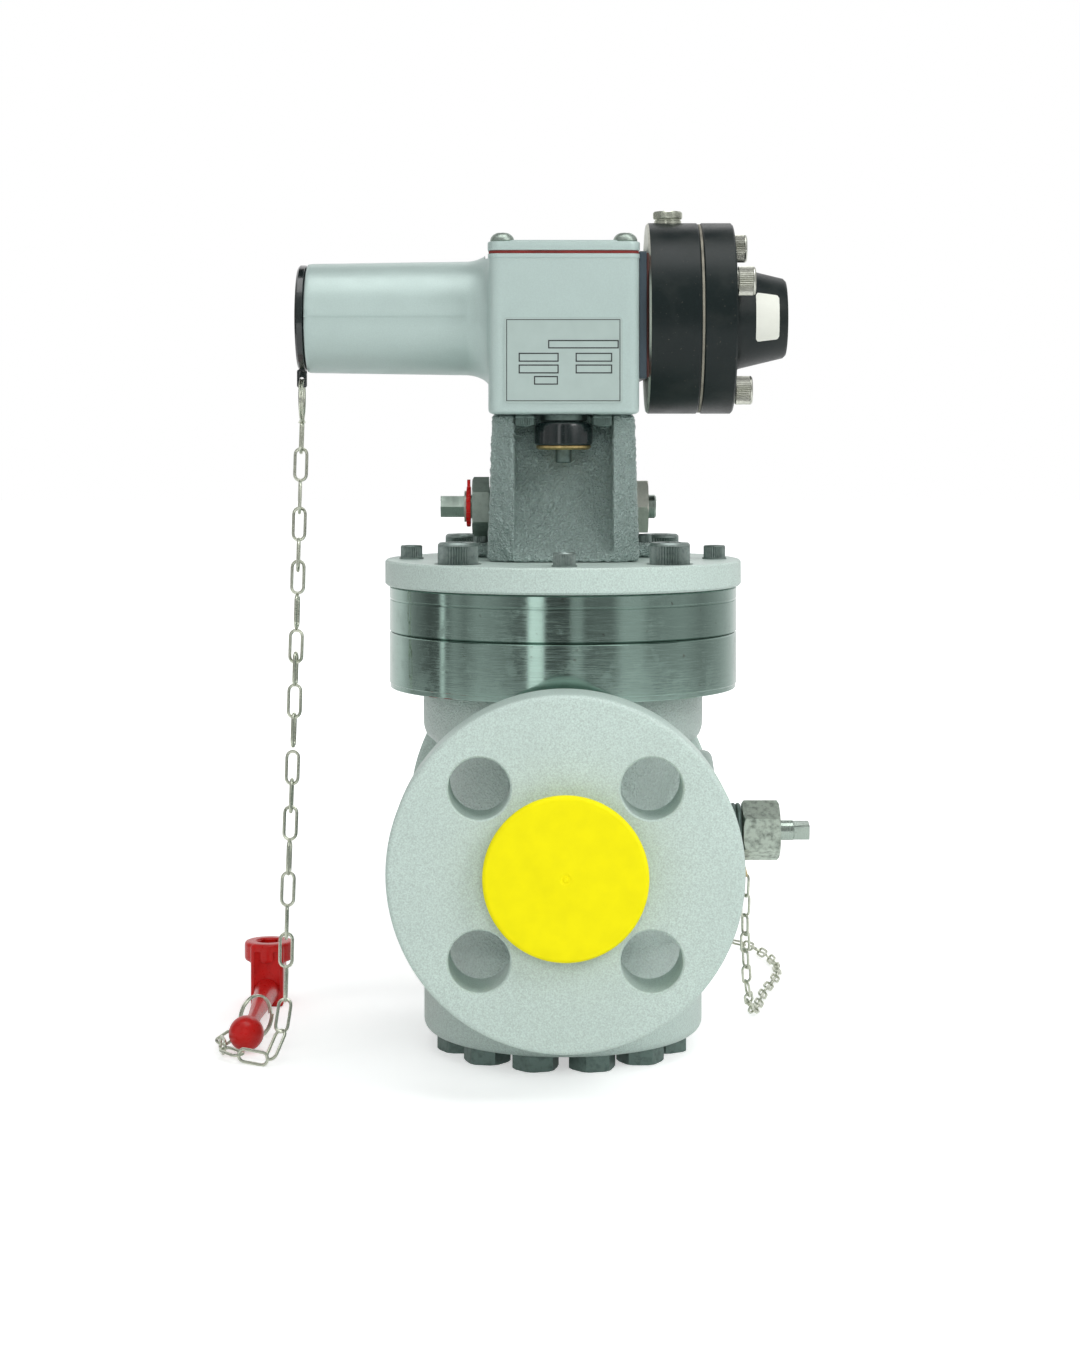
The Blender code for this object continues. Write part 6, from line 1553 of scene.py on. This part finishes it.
def dress_inner_pieces():
    """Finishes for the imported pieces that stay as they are, inside the valve."""
    inner = {
        "seat_ring": "steel",
        "plug": "steel",
        "plug_seal": "rubber",
        "plug_stem": "steel",
        "stem_guide": "brass",
        "closing_spring": "spring",
        "cam_lever": "zinc",
        "diaphragm": "rubber",
        "sensing_stem": "steel",
        "adjuster": "zinc",
        "spring_cup": "alloy",
        "spring_seat": "alloy",
        "set_spring": "spring",
        "trip_lever": "steel",
        "bypass_needle": "steel",
    }
    for node, look in inner.items():
        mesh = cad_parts[node].data
        mesh.materials.clear()
        mesh.materials.append(LOOKS[look])


# --- Operators, panel and registration


class VALVE_OT_stage(bpy.types.Operator):
    """Sets the camera, the lights, the floor and the finishes"""

    bl_idname = "valve.stage"
    bl_label = "Stage and finishes"

    def execute(self, context):
        set_stage()
        make_looks()
        return {"FINISHED"}


class VALVE_OT_chains(bpy.types.Operator):
    """Makes the cap chain with its rings and lever, and the bypass chain"""

    bl_idname = "valve.chains"
    bl_label = "Chains and lever"

    def execute(self, context):
        make_cap_chain()
        make_bypass_chain()
        return {"FINISHED"}


class VALVE_OT_body(bpy.types.Operator):
    """Makes the cast body, its flanges and the lower ring"""

    bl_idname = "valve.body"
    bl_label = "Body and flanges"

    def execute(self, context):
        make_body()
        return {"FINISHED"}


class VALVE_OT_bottom(bpy.types.Operator):
    """Makes the bottom cover and its twelve bolts"""

    bl_idname = "valve.bottom"
    bl_label = "Bottom cover"

    def execute(self, context):
        make_bottom_cover()
        return {"FINISHED"}


class VALVE_OT_upper_ring(bpy.types.Operator):
    """Makes the turned upper ring"""

    bl_idname = "valve.upper_ring"
    bl_label = "Upper ring"

    def execute(self, context):
        make_upper_ring()
        return {"FINISHED"}


class VALVE_OT_top_cover(bpy.types.Operator):
    """Makes the painted cover plate"""

    bl_idname = "valve.top_cover"
    bl_label = "Cover plate"

    def execute(self, context):
        make_top_cover()
        return {"FINISHED"}


class VALVE_OT_cover_screws(bpy.types.Operator):
    """Makes the large and the small socket screws of the cover plate"""

    bl_idname = "valve.cover_screws"
    bl_label = "Cover screws"

    def execute(self, context):
        make_cover_screws()
        return {"FINISHED"}


class VALVE_OT_tower(bpy.types.Operator):
    """Makes the rough tower and its foot screws"""

    bl_idname = "valve.tower"
    bl_label = "Tower"

    def execute(self, context):
        make_tower()
        return {"FINISHED"}


class VALVE_OT_shaft(bpy.types.Operator):
    """Makes the reset shaft, its indicator, clip and nuts"""

    bl_idname = "valve.shaft"
    bl_label = "Reset shaft"

    def execute(self, context):
        make_shaft()
        return {"FINISHED"}


class VALVE_OT_trip_box(bpy.types.Operator):
    """Makes the trip box with its tube and the rating plate"""

    bl_idname = "valve.trip_box"
    bl_label = "Trip box"

    def execute(self, context):
        make_trip_box()
        make_parting_line()
        make_rating_plate()
        return {"FINISHED"}


class VALVE_OT_box_cover(bpy.types.Operator):
    """Makes the gasket, the lid and its screws"""

    bl_idname = "valve.box_cover"
    bl_label = "Box cover"

    def execute(self, context):
        make_box_cover()
        return {"FINISHED"}


class VALVE_OT_tube_cap(bpy.types.Operator):
    """Makes the tube's cap with the chain's eye"""

    bl_idname = "valve.tube_cap"
    bl_label = "Tube cap"

    def execute(self, context):
        make_tube_cap()
        return {"FINISHED"}


class VALVE_OT_head(bpy.types.Operator):
    """Makes the black head, its cone, screws, port and sticker"""

    bl_idname = "valve.head"
    bl_label = "Head"

    def execute(self, context):
        make_head()
        make_sticker()
        return {"FINISHED"}


class VALVE_OT_button(bpy.types.Operator):
    """Makes the button under the box"""

    bl_idname = "valve.button"
    bl_label = "Trip button"

    def execute(self, context):
        make_button()
        return {"FINISHED"}


class VALVE_OT_bypass(bpy.types.Operator):
    """Makes the small bypass valve"""

    bl_idname = "valve.bypass"
    bl_label = "Bypass valve"

    def execute(self, context):
        make_bypass()
        return {"FINISHED"}


class VALVE_OT_caps(bpy.types.Operator):
    """Makes the two yellow caps"""

    bl_idname = "valve.caps"
    bl_label = "Transport caps"

    def execute(self, context):
        make_caps()
        return {"FINISHED"}


class VALVE_OT_inner(bpy.types.Operator):
    """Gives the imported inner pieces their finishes"""

    bl_idname = "valve.inner"
    bl_label = "Inner pieces"

    def execute(self, context):
        dress_inner_pieces()
        return {"FINISHED"}


OPERATORS = (
    VALVE_OT_stage,
    VALVE_OT_chains,
    VALVE_OT_body,
    VALVE_OT_bottom,
    VALVE_OT_upper_ring,
    VALVE_OT_top_cover,
    VALVE_OT_cover_screws,
    VALVE_OT_tower,
    VALVE_OT_shaft,
    VALVE_OT_trip_box,
    VALVE_OT_box_cover,
    VALVE_OT_tube_cap,
    VALVE_OT_head,
    VALVE_OT_button,
    VALVE_OT_bypass,
    VALVE_OT_caps,
    VALVE_OT_inner,
)


class VALVE_PT_panel(bpy.types.Panel):
    """Lists the valve's sizes, colours and pieces"""

    bl_idname = "VALVE_PT_panel"
    bl_label = "Gas valve"
    bl_space_type = "VIEW_3D"
    bl_region_type = "UI"
    bl_category = "Gas valve"

    def draw(self, context):
        layout = self.layout
        for group in (context.scene.valve_sizes, context.scene.valve_colours):
            for name in group.__annotations__:
                layout.prop(group, name)
        for operator in OPERATORS:
            layout.operator(operator.bl_idname)


CLASSES = (ValveSizes, ValveColours, *OPERATORS, VALVE_PT_panel)


def register():
    for cls in CLASSES:
        bpy.utils.register_class(cls)
    bpy.types.Scene.valve_sizes = PointerProperty(type=ValveSizes)
    bpy.types.Scene.valve_colours = PointerProperty(type=ValveColours)


def unregister():
    del bpy.types.Scene.valve_sizes
    del bpy.types.Scene.valve_colours
    for cls in reversed(CLASSES):
        bpy.utils.unregister_class(cls)


def corners():
    low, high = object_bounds()
    return [list(low), list(high)]


def main():
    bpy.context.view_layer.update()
    register()
    for operator in OPERATORS:
        _, word = operator.bl_idname.split(".")
        getattr(bpy.ops.valve, word)()


if __name__ == "__main__":
    main()
